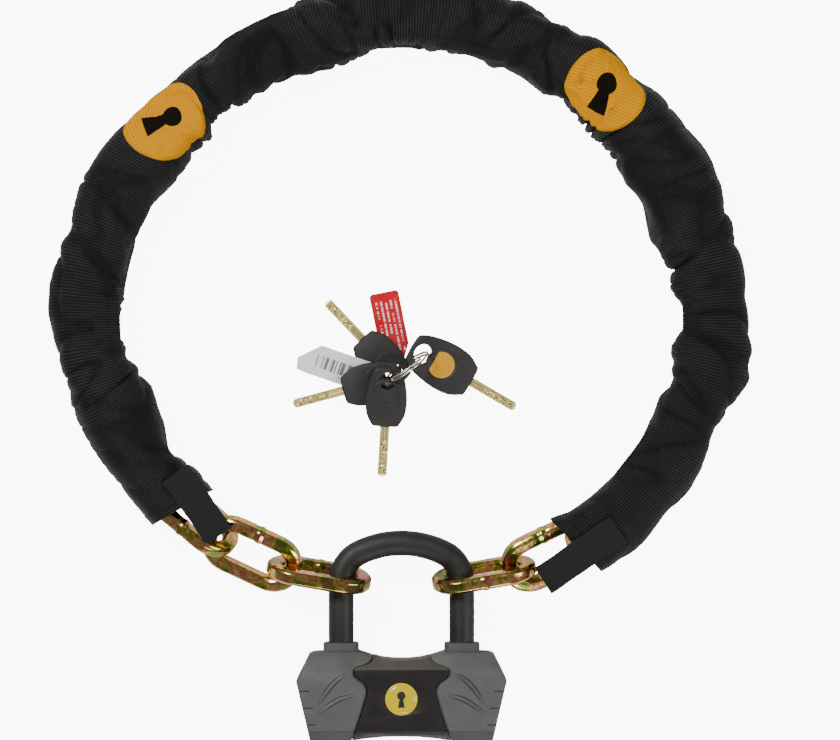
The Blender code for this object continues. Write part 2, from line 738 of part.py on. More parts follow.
def make_tag(name, hole, heading, outline, low_z, colour, slot):
    place = Matrix.Translation((hole[0], hole[1], low_z)) @ Matrix.Rotation(heading, 4, "Z")
    tag = finish_mesh(prism([Vector(point) * MM for point in outline], 0.0, TAG_THICKNESS), name, colour)
    size, turn = slot
    opening = [(x * size[0], y * size[1]) for x, y in circle(1.0, 16)]
    cut = prism(opening, -0.003, 0.004, matrix=Matrix.Rotation(turn - heading, 4, "Z"))
    cut = finish_mesh(cut, f"{name}_slot", helper=True)
    for obj in (tag, cut):
        obj.matrix_world = place
    combine(tag, cut)


def make_ring():
    """A split ring: a coil of nearly two turns, standing almost upright in the keys' holes."""
    side = Vector((math.cos(RING_HEADING), math.sin(RING_HEADING), 0))
    lean_to = Vector((math.sin(RING_HEADING), -math.cos(RING_HEADING), 0))
    up = lean_to * math.sin(RING_LEAN) + Vector((0, 0, 1)) * math.cos(RING_LEAN)
    normal = side.cross(up)
    centre = RING_BASE + up * (RING_RADIUS + RING_WIRE)
    per_turn = 30
    count = int(RING_TURNS * per_turn)
    rings = []
    for i in range(count + 1):
        turn = i / per_turn
        angle = 2 * math.pi * turn + 0.9
        out = side * math.cos(angle) + up * math.sin(angle)
        origin = centre + out * RING_RADIUS + normal * (turn - RING_TURNS / 2) * RING_PITCH
        rings.append([origin + (out * a + normal * b) for a, b in circle(RING_WIRE, 6)])
    return finish_mesh(loft(rings), "key_ring", CHROME)


def make_keys():
    make_ring()
    side_a, side_b, side_c = (math.radians(heading) for heading in (133.5, 195.1, 266.5))
    make_key("key_a", (-0.0047, LOOP_Y - 0.0313), side_a, 0.037, 0.0128, 0.00245)
    make_key("key_b", (-0.0083, LOOP_Y - 0.0350), side_b, 0.037, 0.0128, 0.0083)
    make_key("key_c", (-0.0086, LOOP_Y - 0.0358), side_c, 0.037, 0.0128, 0.0175, math.radians(13))
    make_light_key()
    red = [(-4.6, -4.6), (-4.6, 4.6), (0.0, 6.6), (7.5, 9.2), (46.5, 9.2), (47.9, 7.8)]
    red += [(47.9, -7.8), (46.5, -9.2), (14.0, -9.2), (5.5, -4.8), (0.0, -4.7)]
    white = [(-4.5, -4.6), (-4.5, 5.0), (2.0, 9.0), (9.0, 14.6), (50.5, 14.6)]
    white += [(55.9, 14.0), (57.8, 7.2), (45.8, -4.8), (4.0, -4.8)]
    slot_red = ((0.0046, 0.0029), RING_HEADING)
    slot_white = ((0.0034, 0.0030), RING_HEADING)
    place_red = ((-0.0018, LOOP_Y - 0.0283), math.radians(101.5))
    place_white = ((-0.0079, LOOP_Y - 0.0339), math.radians(161.0))
    make_tag("tag_red", *place_red, red[::-1], 0.00188, TAG_RED, slot_red)
    make_tag("tag_white", *place_white, white[::-1], 0.0075, TAG_WHITE, slot_white)


# The pieces that move together


def join_group(name, axis_point, members):
    """An empty on a moving group's joint axis, with the group's pieces parented to it."""
    empty = bpy.data.objects.new(name, None)
    empty.location = axis_point
    PARTS.objects.link(empty)
    bpy.context.view_layer.update()
    for member in members:
        obj = bpy.data.objects[member]
        obj.parent = empty
        obj.matrix_parent_inverse = empty.matrix_world.inverted()
    return empty


def links_between(first, last):
    return [f"link_{side}_{number:02d}" for number in range(first, last + 1) for side in ("left", "right")]


def group_moving_pieces():
    """One empty for each moving group of the chain and one for the shackle, each on its joint's axis."""
    contact = path_frame(11.5 * PITCH)[0]
    near = path_frame(LOWER_FOLD_LINK * PITCH)[0]
    far = path_frame(UPPER_FOLD_LINK * PITCH)[0]
    lower = links_between(2, 4)
    lower += ["sleeve_left_lower", "sleeve_right_lower", "strap_left", "strap_right"]
    middle = links_between(5, 8) + ["sleeve_left_middle", "sleeve_right_middle"]
    upper = links_between(9, 12) + ["link_far", "sleeve_far"]
    join_group("shackle_axis", (0.0, COLLAR_TOP_Y, ROD_Z), ["shackle"])
    join_group("end_links_axis", (0.0, contact.y, ROD_Z), links_between(1, 1))
    join_group("chain_lower_axis", (0.0, contact.y, (CHAIN_Z + ROD_Z) / 2), lower)
    join_group("chain_middle_axis", (0.0, near.y, CHAIN_Z), middle)
    join_group("chain_far_axis", (0.0, far.y, CHAIN_Z), upper)


clear_scene()
PARTS = make_collection("chain_lock")
HELPERS = make_collection("helpers")
PLATED = make_material("plated_steel", (0.62, 0.50, 0.26), 0.28, 0.95)
FABRIC = make_material("sleeve_fabric", (0.022, 0.022, 0.024), 0.9)
WEBBING = make_material("strap_webbing", (0.015, 0.015, 0.016), 0.85)
ROD_BLACK = make_material("rod_coating", (0.035, 0.032, 0.030), 0.5)
GRIP = make_material("grip_grey", (0.115, 0.118, 0.118), 0.55)
PANEL = make_material("panel_dark", (0.040, 0.034, 0.031), 0.45)
YELLOW = make_material("badge_yellow", (0.86, 0.72, 0.02), 0.3)
STEEL = make_material("inner_steel", (0.55, 0.55, 0.56), 0.35, 1.0)
BRASS = make_material("key_brass", (0.80, 0.74, 0.48), 0.3, 1.0)
BOW_BLACK = make_material("bow_plastic", (0.045, 0.042, 0.040), 0.5)
CHROME = make_material("ring_chrome", (0.72, 0.70, 0.66), 0.2, 1.0)
TAG_RED = make_material("tag_red", (0.72, 0.03, 0.04), 0.45)
TAG_WHITE = make_material("tag_white", (0.84, 0.86, 0.90), 0.5)
PITCH = (leg_distance() - LEG_TO_FIRST_LINK) / LINKS_PER_SIDE
SLOPES = {
    "top": slope_cutter("slope_top", 0.080, 0.0165, 0.0060, 0.0042),
    "panel_top": slope_cutter("slope_panel", 0.080, 0.0160, 0.0100, 0.0048),
    "foot": slope_cutter("slope_foot", 0.080, 0.0535, 0.0600, 0.0030),
}

make_chain()
make_sleeves()
make_straps()
make_shackle()
make_end_cover("left_end_cover", -1)
make_end_cover("right_end_cover", 1)
make_centre_cover()
make_badge()
make_block()
make_cylinder()
make_cam()
make_bolts()
make_keys()
group_moving_pieces()
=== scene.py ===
"""The chain lock's looks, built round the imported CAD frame."""
import math
from bisect import bisect_right
from functools import partialmethod
from math import cos, exp, radians, sin

import bmesh
import bpy
from mathutils import Matrix, Vector, noise


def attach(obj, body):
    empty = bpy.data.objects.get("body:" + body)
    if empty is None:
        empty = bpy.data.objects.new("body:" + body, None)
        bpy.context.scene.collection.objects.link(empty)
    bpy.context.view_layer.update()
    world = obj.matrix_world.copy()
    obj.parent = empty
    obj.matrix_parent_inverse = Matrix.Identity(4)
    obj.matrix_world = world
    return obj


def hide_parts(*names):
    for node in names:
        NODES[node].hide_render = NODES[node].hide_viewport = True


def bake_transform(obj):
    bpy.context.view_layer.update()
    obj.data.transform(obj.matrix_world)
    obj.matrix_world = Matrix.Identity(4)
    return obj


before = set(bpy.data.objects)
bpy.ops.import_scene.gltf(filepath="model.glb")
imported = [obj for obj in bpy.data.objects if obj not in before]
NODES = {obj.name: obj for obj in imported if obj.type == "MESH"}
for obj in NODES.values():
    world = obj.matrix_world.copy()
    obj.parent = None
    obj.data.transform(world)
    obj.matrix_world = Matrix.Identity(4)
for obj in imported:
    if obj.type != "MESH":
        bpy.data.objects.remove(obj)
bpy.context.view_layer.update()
MM = 0.001
TAU = 2 * math.pi
UP = Vector((0, 0, 1))

# The chain's path, by the same formulas as the part

LOOP_Y = 0.02430
LOOP_RADIUS = 0.1885
SIDE_BULGE = 0.003
BULGE_ANGLE = radians(88)
BULGE_SPREAD = radians(20)
DROOP = 0.026
DROOP_FROM = radians(95)
DROOP_OVER = radians(72)
CHAIN_Z = 0.0195
LEG_X = 0.0374
ROD_Z = 0.021
ROD_RADIUS = 0.00785
COLLAR_TOP_Y = -0.17410
LEG_TO_FIRST_LINK = 0.0139
LINKS_PER_SIDE = 12
BODY_DEPTH = 0.042
RIB_PERIOD = 0.0018
RISE_FROM, RISE_OVER = 0.432, 0.08


def loop_radius(angle):
    bulge = SIDE_BULGE * exp(-(((angle - BULGE_ANGLE) / BULGE_SPREAD) ** 2))
    droop = DROOP * (max(0.0, angle - DROOP_FROM) / DROOP_OVER) ** 1.2
    return LOOP_RADIUS + bulge - droop


def loop_point(angle):
    radius = loop_radius(abs(angle))
    return Vector((radius * sin(angle), LOOP_Y + radius * cos(angle), 0.0))


LOWER_FOLD_Y = -0.04556
UPPER_FOLD_Y = 0.119703
STEP_ANGLE = radians(0.25)
PATH_STEPS = 704


def lengths_along(line):
    """How far along a line each of its points is."""
    lengths = [0.0]
    for first, second in zip(line, line[1:]):
        lengths.append(lengths[-1] + (second - first).length)
    return lengths


REACHED = lengths_along([loop_point(i * STEP_ANGLE) for i in range(PATH_STEPS)])


def angle_at(distance):
    """The angle reached after this length of path from the loop's far end."""
    left = abs(distance)
    low = min(bisect_right(REACHED, left), len(REACHED) - 1) - 1
    share = (left - REACHED[low]) / (REACHED[low + 1] - REACHED[low])
    return math.copysign((low + share) * STEP_ANGLE, distance)


def distance_to(angle):
    low = min(int(angle / STEP_ANGLE), len(REACHED) - 2)
    return REACHED[low] + (loop_point(angle) - loop_point(low * STEP_ANGLE)).length


def leg_distance():
    """How far along the path its curve meets a leg of the shackle."""
    low, high = radians(150), radians(175)
    for _ in range(40):
        middle = (low + high) / 2
        if loop_point(middle).x > LEG_X:
            low = middle
        else:
            high = middle
    return distance_to(low)


PITCH = (leg_distance() - LEG_TO_FIRST_LINK) / LINKS_PER_SIDE


def path_frame(distance, z=CHAIN_Z):
    """Origin, direction away from the loop's far end, and direction towards its inside."""
    angle = angle_at(distance)
    small = radians(0.2)
    along = (loop_point(angle + small) - loop_point(angle - small)).normalized()
    inward = along.cross(UP)
    if inward.dot(Vector((0, LOOP_Y, 0)) - loop_point(angle)) < 0:
        inward = -inward
    return loop_point(angle) + Vector((0, 0, z)), along, inward


def chain_height(distance):
    """The chain's middle rises to the shackle's rod at its ends."""
    share = min(1.0, max(0.0, (abs(distance) - RISE_FROM) / RISE_OVER))
    return CHAIN_Z + (ROD_Z - CHAIN_Z) * share


def y_of(v):
    return COLLAR_TOP_Y - v


# Mesh helpers

LINE_STEPS = 14
ROUND_STEPS = 72


def new_object(name, data):
    obj = bpy.data.objects.new(name, data)
    bpy.context.scene.collection.objects.link(obj)
    return obj


def object_from(bm, name, material, smooth=True, angle=None):
    mesh = bpy.data.meshes.new(name)
    bmesh.ops.recalc_face_normals(bm, faces=bm.faces[:])
    bm.to_mesh(mesh)
    bm.free()
    mesh.materials.append(material)
    if smooth:
        mesh.shade_smooth()
    if angle:
        mesh.set_sharp_from_angle(angle=radians(angle))
    return new_object(name, mesh)


def tube_surface(rows, caps=False, joined=False):
    """A surface through closed rows of points: capped, or with its last row joined to its first."""
    bm = bmesh.new()
    made = [[bm.verts.new(point) for point in row] for row in rows]
    count = len(rows[0])
    for i in range(len(rows) if joined else len(rows) - 1):
        k = (i + 1) % len(rows)
        for j in range(count):
            m = (j + 1) % count
            bm.faces.new((made[i][j], made[i][m], made[k][m], made[k][j]))
    if caps:
        bm.faces.new(made[0][::-1])
        bm.faces.new(made[-1])
    return bm


def smooth_line(points):
    """A Catmull-Rom curve through points."""
    points = [Vector(point) for point in points]
    points = [points[0] * 2 - points[1]] + points + [points[-1] * 2 - points[-2]]
    out = []
    for p0, p1, p2, p3 in zip(points, points[1:], points[2:], points[3:]):
        square = p0 * 2 - p1 * 5 + p2 * 4 - p3
        cube = p1 * 3 - p0 - p2 * 3 + p3
        for k in range(LINE_STEPS):
            t = k / LINE_STEPS
            out.append((p1 * 2 + (p2 - p0) * t + square * t**2 + cube * t**3) / 2)
    return out + [points[-2]]


def tangents(line):
    """The direction of a line at each of its points."""
    padded = [line[0], *line, line[-1]]
    return [(after - before).normalized() for before, after in zip(padded, padded[2:])]


def circle(radius, count):
    step = TAU / count
    return [(radius * cos(i * step), radius * sin(i * step)) for i in range(count)]


def mix(a, b, share):
    return a + (b - a) * share


def ease(low, high, value):
    """0 below low, 1 above high, smooth between."""
    share = min(1.0, max(0.0, (value - low) / (high - low)))
    return share * share * (3 - 2 * share)


def modify(obj, name, kind, **settings):
    modifier = obj.modifiers.new(name, kind)
    for key, value in settings.items():
        setattr(modifier, key, value)
    return modifier


def bevel(obj, width, angle):
    limit = {"limit_method": "ANGLE", "angle_limit": radians(angle)}
    return modify(obj, "edge", "BEVEL", width=width, segments=2, harden_normals=False, **limit)


# Materials

THREAD_PERIOD = 0.00105
WEBBING_PERIOD = 0.0013
WEBBING_DARK = (0.0030, 0.0030, 0.0034)
WEBBING_LIGHT = (0.016, 0.016, 0.018)


def add(tree, kind, inputs=None, **settings):
    """A shader node; each input is a plain value, a Field or another node's output."""
    made = tree.nodes.new(kind)
    for key, value in settings.items():
        setattr(made, key, value)
    fill(tree, made, inputs or {})
    return made


def fill(tree, made, inputs):
    for key, value in inputs.items():
        value = getattr(value, "socket", value)
        if isinstance(value, bpy.types.NodeSocket):
            tree.links.new(value, made.inputs[key])
        else:
            made.inputs[key].default_value = value


class Field:
    """A number that varies over a surface, with arithmetic that adds shader nodes."""

    def __init__(self, tree, node, output=0):
        self.tree = tree
        self.socket = node.outputs[output]

    def math(self, operation, other=0.0):
        node = add(self.tree, "ShaderNodeMath", {0: self, 1: other}, operation=operation)
        return Field(self.tree, node)

    __mul__ = partialmethod(math, "MULTIPLY")
    __add__ = partialmethod(math, "ADD")
    __sub__ = partialmethod(math, "SUBTRACT")
    __gt__ = partialmethod(math, "GREATER_THAN")
    __lt__ = partialmethod(math, "LESS_THAN")

    def between(self, low, high):
        return (self > low) * (self < high)

    def steps(self, size):
        return self.math("DIVIDE", size).math("FLOOR")

    def span(self, low, high, old=(0.3, 0.7)):
        inputs = {"Value": self, "From Min": old[0], "From Max": old[1], "To Min": low, "To Max": high}
        return Field(self.tree, add(self.tree, "ShaderNodeMapRange", inputs))


def start_material(name):
    material = bpy.data.materials.new(name)
    material.use_nodes = True
    return material, material.node_tree


def finish(material, inputs):
    tree = material.node_tree
    fill(tree, tree.nodes["Principled BSDF"], inputs)
    return material


def place(tree, scale=(1.0, 1.0, 1.0), turn=0.0, uv=False):
    coordinates = add(tree, "ShaderNodeTexCoord").outputs["UV" if uv else "Object"]
    inputs = {"Vector": coordinates, "Scale": scale, "Rotation": (0.0, 0.0, turn)}
    return add(tree, "ShaderNodeMapping", inputs).outputs["Vector"]


def grain(tree, vector, scale, detail, rough=0.55):
    values = {"Vector": vector, "Scale": scale, "Detail": detail, "Roughness": rough}
    return Field(tree, add(tree, "ShaderNodeTexNoise", values), "Fac")


def ramp(tree, value, stops):
    made = add(tree, "ShaderNodeValToRGB", {"Fac": value})
    elements = made.color_ramp.elements
    while len(elements) < len(stops):
        elements.new(0.5)
    for element, (position, colour) in zip(elements, stops):
        element.position = position
        element.color = (*colour, 1.0)
    return made.outputs["Color"]


def blend_colours(tree, share, first, second):
    colours = [(*colour, 1.0) if isinstance(colour, tuple) else colour for colour in (first, second)]
    inputs = {0: share, 6: colours[0], 7: colours[1]}
    return add(tree, "ShaderNodeMix", inputs, data_type="RGBA", blend_type="MIX").outputs[2]


def bump(tree, height, distance, strength):
    inputs = {"Height": height, "Distance": distance, "Strength": strength}
    return add(tree, "ShaderNodeBump", inputs).outputs["Normal"]


def waves(tree, vector, axis, period):
    """A sine across one direction of the coordinates, from 0 to 1."""
    parts = add(tree, "ShaderNodeSeparateXYZ", {"Vector": vector})
    sine = (Field(tree, parts, axis) * (TAU / period)).math("SINE")
    return sine * 0.5 + 0.5


def zinc_material(name):
    """Yellow-passivated zinc: gold with drifts of pink and green."""
    material, tree = start_material(name)
    vector = place(tree)
    drift = grain(tree, vector, 62.0, 2.0, 0.45)
    fine = grain(tree, vector, 520.0, 4.0, 0.6)
    colour = ramp(tree, fine * 0.16 + drift * 0.92, ZINC_STOPS)
    stain = grain(tree, vector, 150.0, 5.0, 0.65).span(0.0, 0.30, (0.54, 0.78))
    pits = grain(tree, vector, 1800.0, 2.0) * 0.4 + fine
    return finish(material, {
        "Base Color": blend_colours(tree, stain, colour, (0.16, 0.09, 0.02)),
        "Metallic": 1.0,
        "Roughness": fine.span(0.13, 0.26),
        "Normal": bump(tree, pits, 0.00006, 0.5),
    })


ZINC_STOPS = [
    (0.30, (0.15, 0.27, 0.020)),
    (0.38, (0.44, 0.37, 0.045)),
    (0.44, (0.90, 0.64, 0.20)),
    (0.50, (0.70, 0.22, 0.15)),
    (0.55, (0.86, 0.56, 0.16)),
    (0.61, (0.17, 0.30, 0.028)),
    (0.72, (0.62, 0.17, 0.15)),
]


def ribbed_fabric(name, dark, light, sheen, shine, mark=None):
    """Woven nylon with a rib across its length, its creases darkened as painted shade; mark is a mask builder
    and a colour for a woven sign.
    """
    material, tree = start_material(name)
    vector = place(tree, uv=True)
    rib = waves(tree, vector, "Y", RIB_PERIOD)
    thread = waves(tree, vector, "X", THREAD_PERIOD)
    patchy = grain(tree, vector, 260.0, 4.0)
    slub = grain(tree, place(tree, (60.0, 900.0, 1.0), uv=True), 1.0, 2.0)
    crest = rib.math("POWER", 2.2)
    crest = thread * crest * 0.4 + crest
    share = slub * 0.35 + (patchy * 0.35 + crest * 0.72 - 0.32)
    colour = blend_colours(tree, share, dark, light)
    # Painted shade: a per-point value on the mesh darkens the creases, and the band along the seam, towards
    # the dark colour.
    crease_shade_and_seam = Field(tree, add(tree, "ShaderNodeAttribute", attribute_name="crease_shade_and_seam"), "Fac")
    colour = blend_colours(tree, crease_shade_and_seam * 0.85, colour, dark)
    if mark:
        mask, ink = mark
        colour = blend_colours(tree, mask(tree), colour, ink)
    return finish(material, {
        "Base Color": colour,
        "Roughness": patchy.span(0.58, 0.78),
        "Specular IOR Level": shine,
        "Sheen Weight": sheen,
        "Sheen Roughness": 0.45,
        "Normal": bump(tree, thread * rib * 0.45 + rib, 0.00022, 0.6),
    })


def webbing_material(name):
    """Plain black nylon webbing in a fine diagonal weave."""
    material, tree = start_material(name)
    first, second = (
        waves(tree, place(tree, turn=radians(lean), uv=True), "Y", WEBBING_PERIOD) for lean in (38, -38)
    )
    weave = first.math("MAXIMUM", second)
    worn = grain(tree, place(tree, uv=True), 210.0, 5.0)
    return finish(material, {
        "Base Color": blend_colours(tree, weave * (worn * 0.9 + 0.1), WEBBING_DARK, WEBBING_LIGHT),
        "Roughness": worn.span(0.70, 0.88),
        "Specular IOR Level": 0.3,
        "Sheen Weight": 0.08,
        "Normal": bump(tree, weave, 0.00020, 0.6),
    })


def speckled(name, dark, light, rough, size, depth, metallic=0.0, streak=None, coat=0.0):
    """A moulded, painted or machined surface: fine grain, cloudy colour and faint scuffs."""
    material, tree = start_material(name)
    vector = place(tree)
    cloud = grain(tree, vector, 70.0, 4.0)
    fine = grain(tree, vector, size, 3.0, 0.6)
    share = fine * 0.5 + cloud * 0.5
    colour = blend_colours(tree, share.span(0.0, 1.0, (0.35, 0.65)), dark, light)
    height = fine
    if streak:
        lines = grain(tree, place(tree, streak), 1.0, 2.0, 0.5)
        colour = blend_colours(tree, lines.span(0.0, 0.5, (0.5, 0.8)), colour, light)
        height = lines * 0.6 + fine
    scuff = grain(tree, place(tree, (90.0, 900.0, 300.0), 0.7), 1.0, 3.0)
    return finish(material, {
        "Base Color": colour,
        "Metallic": metallic,
        "Roughness": (scuff * 0.25 + fine * 0.75).span(*rough),
        "Coat Weight": coat,
        "Normal": bump(tree, height, depth, 0.5),
    })


# The sleeve: a ribbed nylon tube, creased over the chain

LINK_BAR = 0.0092
LINK_LENGTH = 0.0655
LINK_WIDTH = 0.0385
TILTS = {1: -75.0, 2: 28.0, 3: -52.5, 4: 44.0, 5: -54.0, 6: 46.0, 8: 41.0, 9: -39.0}


def link_tilt(number):
    """A link's turn about the path, in degrees; links are numbered from the lock, 1 to 13."""
    return TILTS.get(number, -45.0 if number % 2 else 45.0)


HALF_WIDTH = 0.0212
HALF_HEIGHT = 0.0190
SQUARENESS = 2.7
AROUND = 60
ROW_STEP = 0.00045
RIB_HEIGHT = 0.00012
DRAPE = 0.0013
LEFT_MOUTH = distance_to(radians(130.3))
RIGHT_MOUTH = distance_to(radians(142.1))
MOUTH_SLANT = {-1: -0.30, 1: 0.24}
HEM = 0.009
STITCH_FROM_MOUTH = 0.0078

# How far the cloth moves in and out of its plain section, and over how much of its length
BULGE = 0.0056
DEEP_CREASE, DEEP_INSIDE = 0.0026, 0.0018
FINE_CREASE, FINE_INSIDE = 0.0007, 0.0004
LINK_CREASE, LINK_CREASE_SPREAD = 0.0020, 0.0022
SLACK, SLACK_REACH = 0.0013, 0.026
FOLD_RISE, FOLD_REACH = 0.0033, 0.034
SEAM_AT, SEAM_HALF = 0.47, 0.019

# The three cloths meet this far from the far end
SPLIT = 6.5 * PITCH

# Bulges and pinches of each edge: (links from the far end, millimetres from the chain's middle)
EDGES = {
    (-1, "inner"): [
        (0.0, 19), (0.8, 23), (1.5, 27), (2.2, 21), (2.7, 23.5), (3.05, 20.5), (3.5, 23.5), (3.9, 20),
        (4.35, 23), (4.9, 17), (5.4, 18.5), (6.0, 17), (6.45, 18), (6.8, 16.8), (7.3, 20), (8.0, 26),
        (8.55, 22), (9.0, 18.8), (9.3, 23.5), (9.8, 20.5), (10.7, 19),
    ],
    (1, "inner"): [
        (0.0, 19), (1.0, 16.8), (1.5, 21.5), (1.8, 17.6), (2.4, 24), (2.8, 19.2), (3.4, 23.6), (3.8, 23),
        (4.4, 27), (4.8, 23), (5.5, 27), (6.0, 22.5), (6.25, 25), (6.8, 19), (7.1, 22), (7.8, 17),
        (8.1, 21), (8.8, 16.8), (9.2, 18), (9.8, 16.8), (10.7, 18),
    ],
    (-1, "outer"): [
        (0.0, 20), (1.3, 17.5), (2.2, 16.8), (3.6, 17), (4.3, 22), (5.1, 26.5), (6.0, 25.5), (7.0, 24.5),
        (7.6, 21.5), (8.4, 19), (9.6, 20.5), (10.7, 20),
    ],
    (1, "outer"): [
        (0.0, 20), (1.4, 21.8), (2.6, 24), (3.5, 22), (4.6, 24), (5.6, 21.5), (6.4, 23.5), (7.3, 25),
        (8.2, 22), (9.2, 22), (10.0, 25.5), (10.7, 24.5),
    ],
}


def edge_at(side, which, links):
    """The sleeve's reach from the chain's middle at one edge, in metres."""
    points = EDGES[side, which]
    for (k0, w0), (k1, w1) in zip(points, points[1:]):
        if links <= k1:
            share = (links - k0) / (k1 - k0)
            return mix(w0, w1, 0.6 * share + 0.4 * ease(0.0, 1.0, share)) * MM
    return points[-1][1] * MM


def arms_at(distance):
    """The links that cross the sleeve's section here: the cosine and sine of each tilt, and its reach."""
    for number in range(-12, 13):
        away = abs(distance - number * PITCH)
        if away < LINK_LENGTH / 2 + 0.0015:
            tilt = radians(link_tilt(LINKS_PER_SIDE + 1 - abs(number)))
            end = 0.85 * max(0.0, away - (LINK_LENGTH - LINK_WIDTH) / 2)
            reach = math.sqrt(max(0.0, (LINK_WIDTH / 2 + 0.0012) ** 2 - end**2))
            yield cos(tilt), sin(tilt), reach


def section_table(count):
    """Points evenly spaced round the plain section, from its inner edge up and round."""
    dense = []
    for i in range(1441):
        angle = TAU * i / 1440
        c, s = cos(angle), sin(angle)
        a = math.copysign(abs(c) ** (2 / SQUARENESS), c) * HALF_WIDTH
        b = math.copysign(abs(s) ** (2 / SQUARENESS), s) * HALF_HEIGHT
        dense.append(Vector((a, b)))
    reached = lengths_along(dense)
    table = []
    for i in range(count):
        goal = reached[-1] * i / count
        k = bisect_right(reached, goal) - 1
        share = (goal - reached[k]) / (reached[k + 1] - reached[k])
        table.append(dense[k].lerp(dense[k + 1], share))
    return table, reached[-1]


SECTION_COUNT = 480
SECTION, GIRTH = section_table(SECTION_COUNT)


def section_point(share):
    spot = (share % 1.0) * SECTION_COUNT
    low = int(spot)
    return SECTION[low % SECTION_COUNT].lerp(SECTION[(low + 1) % SECTION_COUNT], spot - low)


class Row:
    """Everything about the sleeve at one path length that doesn't change round it."""

    def __init__(self, distance):
        self.distance = distance
        self.side = -1 if distance < 0 else 1
        self.links = abs(distance) / PITCH
        self.origin, self.along, self.inward = path_frame(distance)
        self.inner = edge_at(self.side, "inner", self.links) / HALF_WIDTH
        self.outer = edge_at(self.side, "outer", self.links) / HALF_WIDTH
        mouth = LEFT_MOUTH if self.side < 0 else RIGHT_MOUTH
        self.slant = MOUTH_SLANT[self.side] * ease(mouth - 0.06, mouth, abs(distance))
        self.hem = ease(mouth - HEM - 0.0005, mouth - HEM + 0.0005, abs(distance))
        self.stitch = exp(-(((mouth - STITCH_FROM_MOUTH - abs(distance)) / 0.0007) ** 2))
        self.calm = 1.0 - 0.75 * ease(8.9, 9.6, self.links)
        near = min(abs(self.origin.y - fold_y) for fold_y in (LOWER_FOLD_Y, UPPER_FOLD_Y))
        self.slack = exp(-((near / SLACK_REACH) ** 2))
        self.raised = FOLD_RISE * exp(-((near / FOLD_REACH) ** 2))
        self.arms = list(arms_at(distance))
        self.crease_shade_and_seam_values = []

    def point(self, share, lift=0.0):
        a, b = section_point(share)
        inside = max(0.0, a / HALF_WIDTH)
        turn = TAU * share
        around = Vector((cos(turn), sin(turn), 0.0))
        p = self.links * self.side
        broad = noise.noise(around * 0.8 + Vector((0.0, 0.0, p * 1.15 + 4.0)))
        lean = p + 0.30 * a / HALF_WIDTH * sin(p * 1.9)
        fold = 1.0 - abs(noise.noise(around * 0.55 + Vector((7.0, 3.0, lean * 2.7)))) * 2.4
        fine = 1.0 - abs(noise.noise(around * 1.2 + Vector((1.0, 9.0, lean * 4.9)))) * 2.6
        deep = max(0.0, fold) ** 3 * (DEEP_CREASE + DEEP_INSIDE * inside)
        small = max(0.0, fine) ** 3 * (FINE_CREASE + FINE_INSIDE * inside)
        drift = noise.noise(Vector((2.0, p * 0.7, 5.0)))
        phase = p + 0.38 * a / HALF_WIDTH + 0.25 * drift
        band = max(0.0, cos(TAU * phase)) ** 3 * (LINK_CREASE + LINK_CREASE_SPREAD * drift)
        creases = (deep + small + band) * (1.0 - 0.8 * self.slack)
        push = (broad * BULGE - creases + 0.0002) * self.calm + SLACK * self.slack
        out = Vector((a / HALF_WIDTH**2, b / HALF_HEIGHT**2)).normalized()
        seam = exp(-(((share - SEAM_AT) / SEAM_HALF) ** 6))
        # Painted shade: the creases get a darkening value, kept per point for the cloth's colour, and the
        # band along the seam is darkened as well.
        dark = (1.6 * deep + 1.5 * small + band) / 0.0034 - broad * 0.9
        self.crease_shade_and_seam_values.append(min(1.0, max(0.9 * seam, dark * self.calm)))
        ribbing = (1.0 - 0.8 * seam) * (1.0 - 0.5 * self.hem)
        push += RIB_HEIGHT * sin(TAU * self.distance / RIB_PERIOD) * ribbing
        push += 0.00055 * seam + 0.0004 * self.hem - 0.00045 * self.stitch + lift
        a = a * (self.inner if a > 0 else self.outer) + out.x * push
        b += out.y * push + max(0.0, out.y) * self.raised
        for c, s, reach in self.arms:
            u, w = a * c + b * s, b * c - a * s
            need = reach * (1.0 - ease(0.0044, 0.0150, abs(w)))
            if need > 0.004 and abs(u) < need + 0.006:
                softened = DRAPE * math.log1p(exp((need - abs(u)) / DRAPE))
                u = math.copysign(abs(u) + softened, u)
                a, b = u * c - w * s, u * s + w * c
        low = 0.0004 - CHAIN_Z
        if b < low:
            b = low + (b - low) * 0.02
        spot = self.origin + self.inward * a + UP * b
        return spot + self.along * (self.slant * a)


def sheet_object(name, rows, around, material, uv_of):
    """A grid of points as a mesh with a UV map in metres, made quickly."""
    count = len(rows[0])
    points = [tuple(point) for row in rows for point in row]
    faces, uvs = [], []
    columns = count if around else count - 1
    for i in range(len(rows) - 1):
        for j in range(columns):
            m = (j + 1) % count
            faces.append((i * count + j, i * count + m, (i + 1) * count + m, (i + 1) * count + j))
            for corner in ((i, j), (i, j + 1), (i + 1, j + 1), (i + 1, j)):
                uvs.extend(uv_of(*corner))
    mesh = bpy.data.meshes.new(name)
    mesh.from_pydata(points, [], faces)
    layer = mesh.uv_layers.new(name="metres")
    layer.data.foreach_set("uv", uvs)
    mesh.materials.append(material)
    mesh.shade_smooth()
    return new_object(name, mesh)


def face_outwards(obj, centre_of):
    """Turns the faces round when the first one looks towards the tube's middle."""
    first = obj.data.polygons[0]
    if first.normal.dot(first.center - centre_of) < 0:
        obj.data.flip_normals()


def thicken(obj, thickness, offset=-1.0):
    modify(obj, "thickness", "SOLIDIFY", thickness=thickness, offset=offset, use_even_offset=False)


